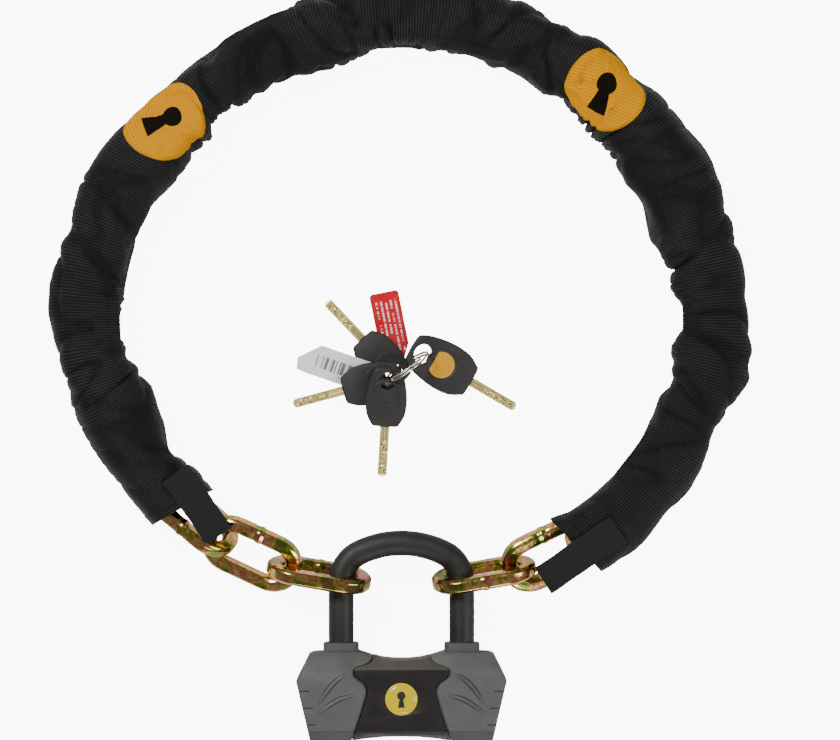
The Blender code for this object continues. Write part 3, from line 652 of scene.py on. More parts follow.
def sleeve_piece(name, start, end):
    count = round((end - start) / ROW_STEP)
    distances = [start + (end - start) * i / count for i in range(count + 1)]
    made = [Row(distance) for distance in distances]
    rows = [[row.point(j / AROUND) for j in range(AROUND)] for row in made]
    obj = sheet_object(name, rows, True, FABRIC, lambda i, j: (GIRTH * j / AROUND, distances[i]))
    # The per-point darkening goes on the mesh: painted shade in the creases, and a darker band along the
    # seam.
    crease_shade_and_seam_layer = obj.data.attributes.new("crease_shade_and_seam", "FLOAT", "POINT")
    crease_shade_and_seam_layer.data.foreach_set("value", [depth for row in made for depth in row.crease_shade_and_seam_values])
    face_outwards(obj, path_frame(start)[0])
    thicken(obj, 0.0011)
    return obj


def disc_piece(name, distance, middle, turn):
    """A round woven patch that follows the sleeve's creases."""
    rings, spokes, radius = 44, 120, 0.0250
    rows = []
    for i in range(spokes + 1):
        angle = TAU * i / spokes
        line = []
        for j in range(rings + 1):
            reach = radius * (j + 0.02) / (rings + 0.02)
            row = Row(distance + reach * cos(angle))
            row.hem = 0.0
            lift = 0.0017 - 0.0014 * ease(0.90, 1.0, j / rings)
            line.append(row.point(middle + reach * sin(angle) / GIRTH, lift))
        rows.append(line)

    def uv_of(i, j):
        reach = radius * (j + 0.02) / (rings + 0.02)
        angle = TAU * i / spokes + turn
        return reach * cos(angle), reach * sin(angle)

    obj = sheet_object(name, rows, False, DISC, uv_of)
    bm = bmesh.new()
    bm.from_mesh(obj.data)
    bmesh.ops.remove_doubles(bm, verts=bm.verts, dist=0.00002)
    bm.to_mesh(obj.data)
    bm.free()
    face_outwards(obj, path_frame(distance)[0])
    thicken(obj, 0.0005)
    return obj


def keyhole_mask(tree):
    """1 inside a plain keyhole drawn at the middle of the UV map, 0 outside."""
    parts = add(tree, "ShaderNodeSeparateXYZ", {"Vector": place(tree, uv=True)})
    x, y = Field(tree, parts, "X"), Field(tree, parts, "Y")
    up = y - 0.0052
    head = x * x + up * up < 0.0062**2
    stem = (x.math("ABSOLUTE") < y * -0.24 + 0.0036) * (y < 0.004) * (y > -0.0125)
    return head.math("MAXIMUM", stem)


STRAP_WIDTH = 0.019
STRAP_SAG = 0.00035


def strap_piece(name, start, heading, line, wave):
    """A flat band: line lists (distance, height) of its middle, in millimetres."""
    direction = Vector((cos(heading), sin(heading), 0))
    width = Vector((-direction.y, direction.x, 0))
    middle = smooth_line([(x * MM, z * MM, 0) for x, z in line])
    lengths = lengths_along(middle)
    rows, across = [], 24
    for point, tangent, length in zip(middle, tangents(middle), lengths):
        reach = length / lengths[-1]
        normal = direction * -tangent.y + UP * tangent.x
        row = []
        for j in range(across + 1):
            t = j / across * 2 - 1
            half = STRAP_WIDTH / 2 * (1 + 0.012 * sin(reach * 17 + wave))
            edge = -0.0002 * abs(t) ** 8
            cup = 0.00025 * sin(reach * 8 + wave) * t + STRAP_SAG * (t * t - 0.4) * reach
            sway = wave * 0.0003 * sin(reach * 5)
            spot = start + direction * point.x + UP * point.y
            row.append(spot + width * (half * t + sway) + normal * (edge + cup))
        rows.append(row)
    flat = (STRAP_WIDTH, lengths[-1])
    obj = sheet_object(name, rows, False, WEBBING, lambda i, j: (STRAP_WIDTH * j / across, lengths[i]))
    if obj.data.polygons[0].normal.z < 0:
        obj.data.flip_normals()
    thicken(obj, 0.0014, 0.0)
    bevel(obj, 0.0004, 50)
    return obj, flat


# The chain's bare links

LINK_CHAMFER, LINK_SOFT = 0.0018, 0.0005
BEAD_HEIGHT, BEAD_HALF = 0.085, 0.0014
BEADS = {(-1, 1): 1, (-1, 2): 1, (-1, 3): -1, (-1, 4): 1, (1, 1): -1, (1, 2): 1, (1, 3): 1, (1, 4): 1}


def bar_section(half, chamfer, soft):
    """A square with chamfered corners, each edge slightly rounded."""
    corners = []
    for quarter in range(4):
        turn = Matrix.Rotation(math.pi / 2 * quarter, 2)
        corners += [turn @ Vector((half, half - chamfer)), turn @ Vector((half - chamfer, half))]
    points = []
    for i, corner in enumerate(corners):
        before = (corners[i - 1] - corner).normalized()
        after = (corners[(i + 1) % len(corners)] - corner).normalized()
        points.append(corner + before * soft)
        points.append(corner + (before + after) * soft * 0.22)
        points.append(corner + after * soft)
    return points


def link_piece(name, side, number):
    """A welded link of rounded square bar, with a weld bead on one side."""
    distance = side * (LINKS_PER_SIDE + 1 - number) * PITCH
    origin, along, inward = path_frame(distance, chain_height(distance))
    tilt = radians(link_tilt(number))
    across = inward * cos(tilt) + UP * sin(tilt)
    normal = along.cross(across)
    section = bar_section(LINK_BAR / 2, LINK_CHAMFER, LINK_SOFT)
    radius = (LINK_WIDTH - LINK_BAR) / 2
    reach = (LINK_LENGTH - LINK_WIDTH) / 2
    arc, straight = 20, 26
    frames = []
    for end, sign in ((0, 1), (1, -1)):
        for i in range(arc + 1):
            angle = math.pi * (end + i / arc) - math.pi / 2
            out = along * cos(angle) + across * sin(angle)
            frames.append((origin + along * (reach * sign) + out * radius, out, 1.0))
        for i in range(1, straight):
            x = mix(reach * sign, -reach * sign, i / straight)
            bead = 0.0
            if sign == BEADS[side, number]:
                bead = BEAD_HEIGHT * exp(-((x / BEAD_HALF) ** 4))
                bead -= 0.03 * exp(-(((abs(x) - 0.0030) / 0.0009) ** 2))
            frames.append((origin + along * x + across * (radius * sign), across * sign, 1.0 + bead))
    rows = []
    for centre, out, scale in frames:
        row = []
        for a, b in section:
            spot = centre + (out * a + normal * b) * scale
            dent = noise.noise(spot * 160.0 + Vector((number, side, 0))) * 0.00014
            row.append(spot + (out * a + normal * b).normalized() * (dent - 0.0001))
        rows.append(row)
    obj = object_from(tube_surface(rows, joined=True), name, ZINC)
    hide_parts(f"link_{'left' if side < 0 else 'right'}_{number:02d}")
    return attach(obj, "end_links" if number == 1 else "chain_lower")


# The shackle

BEND_Y = COLLAR_TOP_Y + 0.0374
STEP_Y = y_of(0.0045)
CORNER_RADIUS = 0.020
CORNER_SWEEP = radians(64)
STEEL_RADIUS = 0.0071
LEG_DEPTH = 0.030
NOTCH_V = 0.023
NOTCH_LENGTH = 0.0064
NOTCH_DEPTH = 0.0035


def rod_line():
    """The rod's middle line: up one leg, round two corners and a shallow crown, and down."""
    crown_offset = (LEG_X - CORNER_RADIUS) / cos(CORNER_SWEEP)
    crown_radius = CORNER_RADIUS + crown_offset
    crown_y = BEND_Y - crown_offset * sin(CORNER_SWEEP)
    half = []
    for i in range(20):
        angle = CORNER_SWEEP * i / 20
        x = LEG_X - CORNER_RADIUS + CORNER_RADIUS * cos(angle)
        half.append((x, BEND_Y + CORNER_RADIUS * sin(angle)))
    for i in range(14):
        angle = CORNER_SWEEP + (math.pi / 2 - CORNER_SWEEP) * i / 14
        half.append((crown_radius * cos(angle), crown_y + crown_radius * sin(angle)))
    return half + [(0.0, crown_y + crown_radius)] + [(-x, y) for x, y in reversed(half)]


def shackle_piece():
    tip = y_of(LEG_DEPTH)
    down = [(mix(BEND_Y, STEP_Y, i / 24), ROD_RADIUS) for i in range(1, 25)]
    down += [(STEP_Y - 0.0002, ROD_RADIUS - 0.0003), (STEP_Y - 0.0003, STEEL_RADIUS)]
    down += [(tip + 0.0010, STEEL_RADIUS), (tip + 0.0004, 0.0067), (tip, 0.0061)]
    line = [(LEG_X, y, radius) for y, radius in reversed(down)]
    line += [(x, y, ROD_RADIUS) for x, y in rod_line()]
    line += [(-LEG_X, y, radius) for y, radius in down]
    middle = [Vector((x, y, ROD_Z)) for x, y, _ in line]
    rows = []
    for point, along, (_, y, radius) in zip(middle, tangents(middle), line):
        side = Vector((along.y, -along.x, 0))
        row = []
        for a, b in circle(1.0, 44):
            out = side * a + UP * b
            spot = point + out * radius
            ripple = noise.noise(spot * 240.0) * 0.00006 if y > STEP_Y else 0.0
            row.append(spot + out * (ripple - 0.00006))
        rows.append(row)
    obj = object_from(tube_surface(rows, caps=True), "shackle_rod", ROD, angle=40)
    obj.data.materials.append(BARE_STEEL)
    for polygon in obj.data.polygons:
        if polygon.center.y < STEP_Y - 0.00005:
            polygon.material_index = 1
    for side in (-1, 1):
        deep = LEG_X - STEEL_RADIUS + NOTCH_DEPTH
        bm = bmesh.new()
        size = (NOTCH_DEPTH + 0.003, NOTCH_LENGTH, 0.020)
        middle = (side * (deep - size[0] / 2), y_of(NOTCH_V), ROD_Z)
        bmesh.ops.create_cube(bm, size=1.0, matrix=Matrix.Translation(middle) @ Matrix.Diagonal((*size, 1.0)))
        cutter = object_from(bm, f"notch_cutter_{side + 1}", BARE_STEEL, smooth=False)
        modify(obj, "notch", "BOOLEAN", object=cutter, solver="EXACT")
        apply_modifiers(obj)
        bpy.data.objects.remove(cutter)
    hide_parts("shackle")
    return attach(obj, "shackle")


def apply_modifiers(obj):
    """Bakes the modifiers into the mesh."""
    graph = bpy.context.evaluated_depsgraph_get()
    mesh = bpy.data.meshes.new_from_object(obj.evaluated_get(graph))
    obj.modifiers.clear()
    obj.data = mesh


# The keys

RING_BASE = Vector((0.0022, LOOP_Y - 0.0254, 0.0004))
RING_HEADING = radians(34.7)
RING_LEAN = radians(10)
RING_RADIUS = 0.0150
RING_WIRE = 0.00065
RING_PITCH = 0.0017
RING_TURNS = 1.85
BOW_THICKNESS = 0.0048
HOLE_FROM_END = 0.0080
BLADE_LENGTH = 0.032
BLADE_WIDTH = 0.0057
BLADE_THICKNESS = 0.0022
TANG = 0.009
# Each key: its hole, its heading, the length of its bow, its height and its pitch
KEYS = {
    "key_a": ((-0.0047, LOOP_Y - 0.0313), 133.5, 0.0370, 0.00245, 0.0),
    "key_b": ((-0.0083, LOOP_Y - 0.0350), 195.1, 0.0370, 0.0083, 0.0),
    "key_c": ((-0.0086, LOOP_Y - 0.0358), 266.5, 0.0370, 0.0175, 13.0),
    "key_d": ((0.0129, LOOP_Y - 0.0195), -30.1, 0.0430, 0.0080, 5.5),
}


def key_object(bm, key, name, material, angle=None):
    """An object from a mesh drawn with the key's hole at the origin and its blade along X."""
    hole, heading, _, low_z, pitch = KEYS[key]
    turn = Matrix.Rotation(radians(heading), 4, "Z") @ Matrix.Rotation(radians(pitch), 4, "Y")
    matrix = Matrix.Translation((hole[0], hole[1], low_z)) @ turn
    bmesh.ops.transform(bm, matrix=matrix, verts=bm.verts[:])
    return object_from(bm, name, material, angle=angle)


def ring_piece():
    """The split ring: a coil of nearly two turns of half-round wire."""
    side = Vector((cos(RING_HEADING), sin(RING_HEADING), 0))
    lean_to = Vector((sin(RING_HEADING), -cos(RING_HEADING), 0))
    up = lean_to * sin(RING_LEAN) + UP * cos(RING_LEAN)
    normal = side.cross(up)
    centre = RING_BASE + up * (RING_RADIUS + RING_WIRE)
    per_turn = 120
    count = int(RING_TURNS * per_turn)
    rows = []
    for i in range(count + 1):
        turn = i / per_turn
        angle = TAU * turn + 0.9
        out = side * cos(angle) + up * sin(angle)
        origin = centre + out * RING_RADIUS + normal * (turn - RING_TURNS / 2) * RING_PITCH
        rows.append([origin + out * a + normal * b for a, b in circle(RING_WIRE, 14)])
    obj = object_from(tube_surface(rows, caps=True), "split_ring", RING_METAL, angle=60)
    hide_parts("key_ring")
    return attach(obj, "key_ring")


def blade_piece(name):
    """A dimple key's blade: rows of dimples and a wavy groove on both faces, the deeper cuts in a darker
    brass as painted shade.
    """
    shoulder = KEYS[name][2] - HOLE_FROM_END
    low = (BOW_THICKNESS - BLADE_THICKNESS) / 2
    start, end = shoulder - TANG, shoulder + BLADE_LENGTH
    count, across = 150, 22
    rows = []
    for i in range(count + 1):
        x = mix(start, end, i / count)
        tip = ease(end - 0.0018, end, x)
        wide = BLADE_WIDTH / 2 - 0.0014 * tip * tip
        top, bottom = [], []
        for j in range(across + 1):
            y = -wide + 2 * wide * j / across
            rim = max(0.0, abs(y) / wide - 0.86) / 0.14
            depth = 0.00030 * rim**2 + 0.00035 * tip + groove_depth(x - shoulder, y)
            top.append((x, y, low + BLADE_THICKNESS - depth))
            bottom.append((x, y, low + depth))
        rows.append(top + bottom[::-1])
    bm = tube_surface(rows, caps=True)
    # Painted shade: faces in the deeper cuts get a darker brass.
    for face in bm.faces:
        middle = face.calc_center_median()
        face.material_index = int(groove_depth(middle.x - shoulder, middle.y) > 0.00022)
    obj = key_object(bm, name, f"{name}_cut_blade", KEY_METAL, 50)
    obj.data.materials.append(KEY_GROOVE_SHADE)
    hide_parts(f"{name}_blade")
    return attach(obj, name)


def groove_depth(x, y):
    """How deep the blade is cut at a point: x from the bow's shoulder, y from the middle."""
    past_bow = ease(0.0085, 0.0105, x)
    wavy = past_bow * (1 - ease(0.0285, 0.0305, x))
    wave = 0.0013 * sin(x * 900) + 0.0005 * sin(x * 2100)
    cut = 0.00042 * wavy * exp(-(((y - wave) / 0.00055) ** 2))
    cut = max(cut, 0.00040 * (1 - past_bow) * exp(-(((abs(y) - 0.0007) / 0.00030) ** 2)))
    for k in range(6):
        centre = 0.0112 + 0.0033 * k
        aside = 0.0016 if k % 2 else -0.0016
        away = math.hypot(x - centre, y - aside)
        cut = max(cut, 0.00055 * (1 - ease(0.0005, 0.0010, away)))
    return cut


def bow_ring(name, centre, radius, wire, tall, label, material):
    """A round band on a bow's face: a raised bead, or the dark band inside it that paints the shade of the
    recess.
    """
    rows = []
    for x, y in circle(1.0, ROUND_STEPS):
        out = Vector((x, y, 0))
        middle = Vector((*centre, BOW_THICKNESS - 0.00002)) + out * radius
        rows.append([middle + out * a + UP * (b * tall) for a, b in circle(wire, 10)])
    bm = tube_surface(rows, joined=True)
    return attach(key_object(bm, name, f"{name}_{label}", material), name)


def domed_disc(centre, radius, low, rise, groove):
    """A low dome with a shallow ring groove near its rim."""
    rows = []
    rim = circle(radius, ROUND_STEPS)
    for reach in [1.0, 1.0, 0.985, 0.965, 0.95, 0.93, 0.91, 0.88, 0.86, 0.84, 0.7, 0.5, 0.3, 0.12, 0.01]:
        z = low + rise * (1 - reach**2)
        if not rows:
            z = low - 0.0008
        z -= 0.00025 * exp(-(((reach - 0.88) / 0.03) ** 2)) * groove
        rows.append([Vector((centre[0] + x * reach, centre[1] + y * reach, z)) for x, y in rim])
    rows[1] = [point - UP * 0.00015 for point in rows[1]]
    return tube_surface(rows, caps=True)


def disc_part(name, low, rise, side, material):
    """The fourth key's insert on one side of its flat, or the bow's face on the other side."""
    bm = domed_disc(INSERT_CENTRE, 0.0083, low, rise, 0.5)
    geometry = bm.verts[:] + bm.edges[:] + bm.faces[:]
    plane = {"plane_co": (INSERT_FLAT, 0, 0), "plane_no": (side, 0, 0)}
    cut = bmesh.ops.bisect_plane(bm, geom=geometry, clear_inner=True, **plane)["geom_cut"]
    edges = [item for item in cut if isinstance(item, bmesh.types.BMEdge)]
    bmesh.ops.edgeloop_fill(bm, edges=edges)
    return key_object(bm, "key_d", name, material, 50)


# Tag and badge faces


def random_of(first, second):
    """A random number for each pair of whole numbers."""
    joined = add(first.tree, "ShaderNodeCombineXYZ", {"X": first, "Y": second})
    noise_node = add(first.tree, "ShaderNodeTexWhiteNoise", {"Vector": joined.outputs["Vector"]})
    return Field(first.tree, noise_node, "Value")


def tag_material(name, origin, heading, base, base_low, ink, printed):
    """Coated card with plain bars; printed builds their mask from x and y, along and across the tag."""
    material, tree = start_material(name)
    inputs = {
        "Vector": add(tree, "ShaderNodeTexCoord").outputs["Object"],
        "Location": (*origin, 0.0),
        "Rotation": (0.0, 0.0, radians(heading)),
    }
    vector = add(tree, "ShaderNodeMapping", inputs, vector_type="TEXTURE").outputs["Vector"]
    parts = add(tree, "ShaderNodeSeparateXYZ", {"Vector": vector})
    cloud = grain(tree, vector, 160.0, 4.0)
    colour = blend_colours(tree, cloud.span(0.0, 1.0), base_low, base)
    mask = printed(Field(tree, parts, "X"), Field(tree, parts, "Y"))
    return finish(material, {
        "Base Color": blend_colours(tree, mask, colour, ink),
        "Roughness": cloud.span(0.28, 0.48),
        "Coat Weight": 0.2,
        "Normal": bump(tree, grain(tree, vector, 2400.0, 3.0), 0.00003, 0.4),
    })


def text_bars(x, y):
    """Five rows of short dashes, like small print."""
    rows = (y + 0.0075).math("DIVIDE", 0.0030)
    line = rows.math("FLOOR")
    marks = rows.math("FRACT").between(0.22, 0.62)
    letters = random_of(x.steps(0.00055), line) > 0.30
    gaps = random_of(x.steps(0.0031), line) > 0.14
    area = x.between(0.010, 0.0425) * y.between(-0.0075, 0.0072)
    return marks * letters * gaps * area * 0.85


def code_bars(x, y):
    """Blocks of thin bars across the tag, and one row of small marks."""
    bars = random_of(x.steps(0.00042), 3.0) > 0.28
    block = (x - 0.010).math("DIVIDE", 0.0056).math("FRACT").between(0.06, 0.80)
    bars = bars * block * (x.between(0.0208, 0.0460) * y.between(0.0012, 0.0090))
    dots = random_of(x.steps(0.0006), 9.0) > 0.55
    small = y.between(0.0104, 0.0116) * x.between(0.024, 0.036) * dots
    return bars.math("MAXIMUM", small) * 0.8


BADGE_RADIUS, BADGE_RISE = 0.0100, 0.0011


def badge_piece():
    """The domed badge with a groove near its rim and a plain raised keyhole."""
    centre = (0.0, y_of(0.034))
    top = BODY_DEPTH + 0.0003
    bm = domed_disc(centre, BADGE_RADIUS, top, BADGE_RISE, 1.0)
    obj = object_from(bm, "badge_dome", BADGE, angle=50)
    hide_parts("badge")
    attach(obj, "casing")
    points = []
    for i in range(29):
        angle = radians(-62 + 304 * i / 28)
        points.append((0.0026 * cos(angle), 0.0022 + 0.0026 * sin(angle)))
    points += [(-0.0021, -0.0052), (0.0021, -0.0052)]
    low, high = [], []
    for x, y in points:
        z = top + BADGE_RISE * (1 - (x * x + y * y) / BADGE_RADIUS**2)
        low.append(Vector((x, centre[1] + y, z - 0.0003)))
        high.append(Vector((x, centre[1] + y, z + 0.00014)))
    sign = object_from(tube_surface([low, high], caps=True), "badge_keyhole", SIGN_AND_SHADE_BLACK, smooth=False)
    bevel(sign, 0.00008, 40)
    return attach(sign, "casing")


# The CAD nodes that stay

SMOOTH_ANGLE = 32


def dress(node, material, edge=0.0):
    """Gives a CAD node its finish, with its edges softened."""
    obj = NODES[node]
    obj.data.materials.clear()
    obj.data.materials.append(material)
    obj.data.shade_smooth()
    modify(obj, "joined", "WELD", merge_threshold=0.00002)
    if edge:
        bevel(obj, edge, 28).use_clamp_overlap = True
    modify(obj, "sharp", "EDGE_SPLIT", split_angle=radians(SMOOTH_ANGLE), use_edge_sharp=False)
    return obj


def shade_slopes(node, upper, upper_v, lower, lower_v):
    """Gives the sloping faces above and below the flat front their own materials, as painted light and shade:
    darker on the grips' slopes, lighter on the panel's upper slope.
    """
    mesh = NODES[node].data
    mesh.materials.append(upper)
    mesh.materials.append(lower)
    for polygon in mesh.polygons:
        facing = polygon.normal.z > 0.5 and polygon.center.z > BODY_DEPTH / 2
        if facing and polygon.center.y > y_of(upper_v):
            polygon.material_index = 1
        elif facing and polygon.center.y < y_of(lower_v):
            polygon.material_index = 2


def ridge_piece(side, name, points, wide, tall, label, material):
    """A band on a grip's face, tapered at both ends: the raised rib, or a lower, wider dark band round it
    that paints the shade at the rib's foot.
    """
    line = smooth_line([(side * x * MM, y_of(v * MM), 0) for x, v in points])
    rows = []
    for i, (point, along) in enumerate(zip(line, tangents(line))):
        across = Vector((along.y, -along.x, 0))
        taper = sin(math.pi * (0.06 + 0.88 * i / (len(line) - 1))) ** 0.45
        origin = Vector((point.x, point.y, BODY_DEPTH - 0.0002))
        ring = circle(RIDGE_RADIUS * taper, 14)
        rows.append([origin + across * (a * wide) + UP * (b * tall) for a, b in ring])
    hand = "left" if side < 0 else "right"
    obj = object_from(tube_surface(rows, caps=True), f"{label}_{hand}_{name}", material)
    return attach(obj, "casing")


RIDGE_RADIUS = 0.0010
RIDGES = {
    "outer": [(34.6, 18.4), (43.0, 25.6), (51.2, 36.9)],
    "inner": [(28.9, 31.2), (40.0, 35.0), (50.6, 42.2)],
}

# The materials in use

ZINC = zinc_material("zinc_passivate")
FABRIC = ribbed_fabric("ribbed_nylon", (0.0004, 0.0004, 0.0004), (0.0250, 0.0240, 0.0225), 0.1, 0.2)
SIGN = (keyhole_mask, (0.010, 0.008, 0.006))
DISC = ribbed_fabric("woven_disc", (0.64, 0.25, 0.0), (0.84, 0.37, 0.0), 0.0, 0.0, SIGN)
WEBBING = webbing_material("strap_webbing_black")
ROD = speckled(
    "rod_satin_black", (0.0068, 0.0060, 0.0053), (0.021, 0.0187, 0.0162), (0.48, 0.64), 1300.0, 0.00016
)
GRIP = speckled(
    "grip_satin_grey", (0.074, 0.0755, 0.072), (0.104, 0.106, 0.101), (0.46, 0.64), 2100.0, 0.00009
)
# The grips' sloping faces: darker copies of the grip's grey, painted shade on the slopes.
GRIP_UPPER_SHADED = speckled(
    "grip_upper_painted_shade", (0.064, 0.065, 0.062), (0.094, 0.095, 0.090), (0.50, 0.66), 2100.0, 0.00009
)
GRIP_LOWER_SHADED = speckled(
    "grip_lower_painted_shade", (0.044, 0.045, 0.043), (0.066, 0.067, 0.064), (0.52, 0.68), 2100.0, 0.00009
)
# Dark grey for the bands round the grip ribs: painted shade.
GRIP_SHADOW = speckled(
    "grip_painted_shadow", (0.014, 0.014, 0.013), (0.022, 0.022, 0.021), (0.55, 0.70), 2100.0, 0.00006
)
PANEL = speckled(
    "panel_brown_black", (0.0080, 0.0062, 0.0054), (0.0155, 0.0124, 0.0108), (0.34, 0.50), 1700.0, 0.00005
)
# The panel's upper slope: a lighter colour, painted light on the slope.
PANEL_UPPER_LIT = speckled(
    "panel_upper_painted_light", (0.074, 0.064, 0.055), (0.094, 0.082, 0.071), (0.40, 0.55), 1700.0, 0.00005
)
BADGE = speckled("badge_enamel", (0.66, 0.49, 0.0), (0.78, 0.60, 0.0), (0.16, 0.30), 700.0, 0.00002, coat=0.2)
# Black for the badge's keyhole sign, and for the painted shade inside the key bows' rims.
SIGN_AND_SHADE_BLACK = speckled(
    "sign_and_painted_shade_black", (0.012, 0.012, 0.010), (0.035, 0.033, 0.028), (0.35, 0.55), 1500.0, 0.00004
)
ACROSS, ALONG = (60.0, 1500.0, 60.0), (1500.0, 60.0, 60.0)
STEEL = speckled(
    "machined_steel", (0.40, 0.40, 0.41), (0.60, 0.60, 0.61), (0.26, 0.46), 800.0, 0.00004, 1.0, ACROSS
)
BARE_STEEL = speckled(
    "leg_steel", (0.45, 0.44, 0.43), (0.62, 0.61, 0.59), (0.22, 0.40), 900.0, 0.00004, 1.0, ALONG
)
KEY_METAL = speckled(
    "key_nickel_brass", (0.78, 0.58, 0.15), (1.0, 0.86, 0.36), (0.20, 0.38), 1600.0, 0.00004, 0.55
)
# Darker brass for the blade's cuts: painted shade.
KEY_GROOVE_SHADE = speckled(
    "key_groove_painted_shade", (0.30, 0.20, 0.05), (0.60, 0.46, 0.16), (0.26, 0.44), 1600.0, 0.00004, 0.8
)
BOW = speckled(
    "bow_satin_black", (0.017, 0.0155, 0.0145), (0.030, 0.028, 0.026), (0.42, 0.60), 1900.0, 0.00006
)
RING_METAL = speckled(
    "ring_nickel", (0.62, 0.57, 0.48), (0.82, 0.78, 0.70), (0.14, 0.30), 1200.0, 0.00003, 1.0
)
INSERT = speckled("insert_yellow", (0.62, 0.27, 0.0), (0.76, 0.37, 0.0), (0.40, 0.56), 1300.0, 0.00004)
RED = tag_material(
    "tag_red_card", (-0.0018, LOOP_Y - 0.0283), 101.5,
    (0.70, 0.0, 0.014), (0.60, 0.0, 0.011), (0.98, 0.84, 0.82), text_bars,
)
WHITE = tag_material(
    "tag_white_card", (-0.0079, LOOP_Y - 0.0339), 161.0,
    (0.97, 0.98, 1.0), (0.90, 0.92, 0.97), (0.03, 0.03, 0.035), code_bars,
)


# The object

sleeve_left = sleeve_piece("sleeve_left_cloth", -LEFT_MOUTH, -SPLIT)
sleeve_right = sleeve_piece("sleeve_right_cloth", SPLIT, RIGHT_MOUTH)
sleeve_top = sleeve_piece("sleeve_far_cloth", -SPLIT, SPLIT)
for piece in (sleeve_left, sleeve_right):
    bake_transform(piece)
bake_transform(sleeve_top)
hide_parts("sleeve_left_lower", "sleeve_left_middle")
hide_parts("sleeve_right_lower", "sleeve_right_middle")
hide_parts("sleeve_far")

for name, side, angle, middle, turn in (
    ("disc_left", -1, 49.6, 0.25 + 0.0040 / GIRTH, 118),
    ("disc_right", 1, 41.4, 0.25, -20),
):
    disc = disc_piece(name, side * distance_to(radians(angle)), middle, radians(turn))
    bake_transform(disc)

STRAPS = {
    "strap_left": (
        (-0.1395, LOOP_Y - 0.0935), -54.5, 1.0, sleeve_left,
        [(0, 41.9), (12, 41.1), (24, 40.5), (33, 39.2), (40, 37.8), (44.5, 36.4), (46.6, 33.4), (45.6, 30.6)],
    ),
    "strap_right": (
        (0.1340, LOOP_Y - 0.1280), 214, -1.0, sleeve_right,
        [(0, 39.8), (14, 39.9), (28, 39.9), (40, 38.7), (48.5, 37.9), (53.6, 36.7), (55.8, 33.9),
         (54.9, 31.3)],
    ),
}
for node, (start, heading, wave, under, line) in STRAPS.items():
    strap, flat = strap_piece(f"{node}_band", Vector((*start, 0.0)), radians(heading), line, wave)
    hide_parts(node)
    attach(strap, "chain_lower")

for side, name in ((-1, "left"), (1, "right")):
    for number in (1, 2, 3, 4):
        link_piece(f"link_{name}_{number:02d}_bar", side, number)
    for number in range(5, LINKS_PER_SIDE + 1):
        dress(f"link_{name}_{number:02d}", ZINC)
dress("link_far", ZINC)
shackle_piece()

# Each cover's sloping faces get painted light and shade.
for node, material, edge, upper, upper_v, lower in (
    ("left_end_cover", GRIP, 0.0004, GRIP_UPPER_SHADED, 0.0166, GRIP_LOWER_SHADED),
    ("right_end_cover", GRIP, 0.0004, GRIP_UPPER_SHADED, 0.0166, GRIP_LOWER_SHADED),
    ("centre_cover", PANEL, 0.0002, PANEL_UPPER_LIT, 0.0161, PANEL),
):
    dress(node, material, edge)
    shade_slopes(node, upper, upper_v, lower, 0.0536)
for side in (-1, 1):
    for name, points in RIDGES.items():
        ridge_piece(side, name, points, 1.15, 1.0, "ridge", GRIP)
        # A dark flat band round each rib: painted shade.
        ridge_piece(side, name, points, 1.90, 0.50, "shade_band", GRIP_SHADOW)
for node in ("lock_block", "cylinder_housing", "cam", "bolt_left", "bolt_right"):
    dress(node, STEEL)
dress("cylinder_plug", KEY_METAL)
badge_piece()

ring_piece()
for name in KEYS:
    dress(f"{name}_bow", BOW, 0.0003)
    blade_piece(name)
INSERT_CENTRE = (0.0135, -0.0002)
INSERT_FLAT = 0.0135 - 0.0053
BOW_RIMS = {
    "key_a": ((0.0052, 0.0), 0.0080),
    "key_b": ((0.0045, 0.0), 0.0096),
    "key_c": ((0.0075, 0.0), 0.0084),
    "key_d": (INSERT_CENTRE, 0.0096),
}
for name, (centre, radius) in BOW_RIMS.items():
    bow_ring(name, centre, radius, 0.00065, 0.60, "rim", BOW)
    # A dark ring inside each rim: painted shade in the recess.
    bow_ring(name, centre, radius - 0.0011, 0.00060, 0.16, "shade_band", SIGN_AND_SHADE_BLACK)
insert = disc_part("key_d_insert_dome", BOW_THICKNESS + 0.00015, 0.0003, 1, INSERT)
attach(disc_part("key_d_flat_side", BOW_THICKNESS + 0.00002, 0.00002, -1, BOW), "key_d")
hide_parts("key_d_insert")
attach(insert, "key_d")
dress("tag_red", RED)
dress("tag_white", WHITE)


# Floor, light and camera

FLOOR_HALF = 2.5
FLOOR_GLOW = 9.0


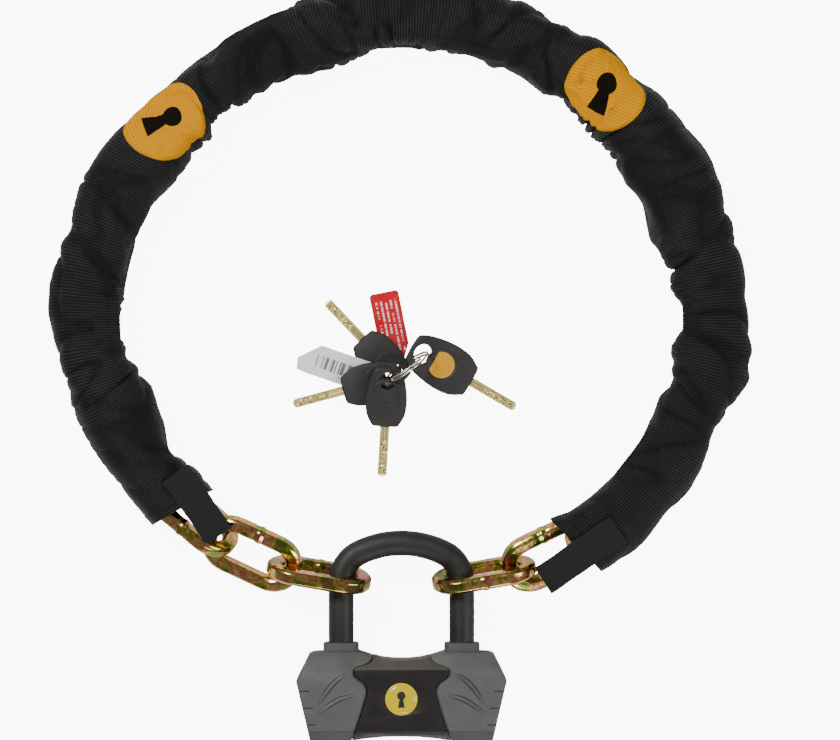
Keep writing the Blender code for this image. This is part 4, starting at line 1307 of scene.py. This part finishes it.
def floor_piece():
    material, tree = start_material("floor_paper")
    shade = grain(tree, place(tree), 3.0, 3.0)
    seen = Field(tree, add(tree, "ShaderNodeLightPath"), "Is Camera Ray")
    finish(material, {
        "Base Color": blend_colours(tree, shade, (0.86, 0.86, 0.86), (0.90, 0.90, 0.90)),
        "Roughness": 0.9,
        "Emission Color": (1.0, 1.0, 1.0, 1.0),
        "Emission Strength": seen * FLOOR_GLOW,
    })
    bm = bmesh.new()
    bmesh.ops.create_grid(bm, x_segments=4, y_segments=4, size=FLOOR_HALF)
    obj = object_from(bm, "floor", material)


def area_light(name, place_at, aim, size, power):
    light = bpy.data.lights.new(name, "AREA")
    light.shape = "RECTANGLE"
    light.size, light.size_y = size
    light.energy = power
    obj = new_object(name, light)
    obj.location = place_at
    obj.rotation_mode = "QUATERNION"
    obj.rotation_quaternion = (Vector(aim) - Vector(place_at)).to_track_quat("-Z", "Y")


def studio():
    world = bpy.data.worlds.new("studio")
    bpy.context.scene.world = world
    world.use_nodes = True
    tree = world.node_tree
    fill(tree, tree.nodes["Background"], {"Color": (1.0, 0.98, 0.95, 1.0), "Strength": 0.16})
    area_light("key_light", (-0.9, 0.9, 1.5), (0.0, 0.0, 0.0), (0.6, 0.6), 34.0)
    area_light("fill_light", (1.3, -0.3, 1.1), (0.0, 0.0, 0.0), (0.4, 0.8), 12.0)
    area_light("rim_light", (0.1, -1.4, 0.8), (0.0, -0.1, 0.0), (0.9, 0.25), 9.0)


CAMERA_HEIGHT = 3.0
SENSOR = 36.0
# The picture's width and centre are measured at this height
PICTURE_Z = 0.020
PICTURE_WIDTH = 0.5208
PICTURE_CENTRE = (0.01147, -0.00546)


def camera():
    data = bpy.data.cameras.new("camera")
    data.sensor_width = SENSOR
    data.lens = SENSOR * (CAMERA_HEIGHT - PICTURE_Z) / PICTURE_WIDTH
    data.clip_end = 20.0
    obj = new_object("camera", data)
    obj.location = (*PICTURE_CENTRE, CAMERA_HEIGHT)
    bpy.context.scene.camera = obj


floor_piece()
studio()
camera()

bpy.context.view_layer.update()
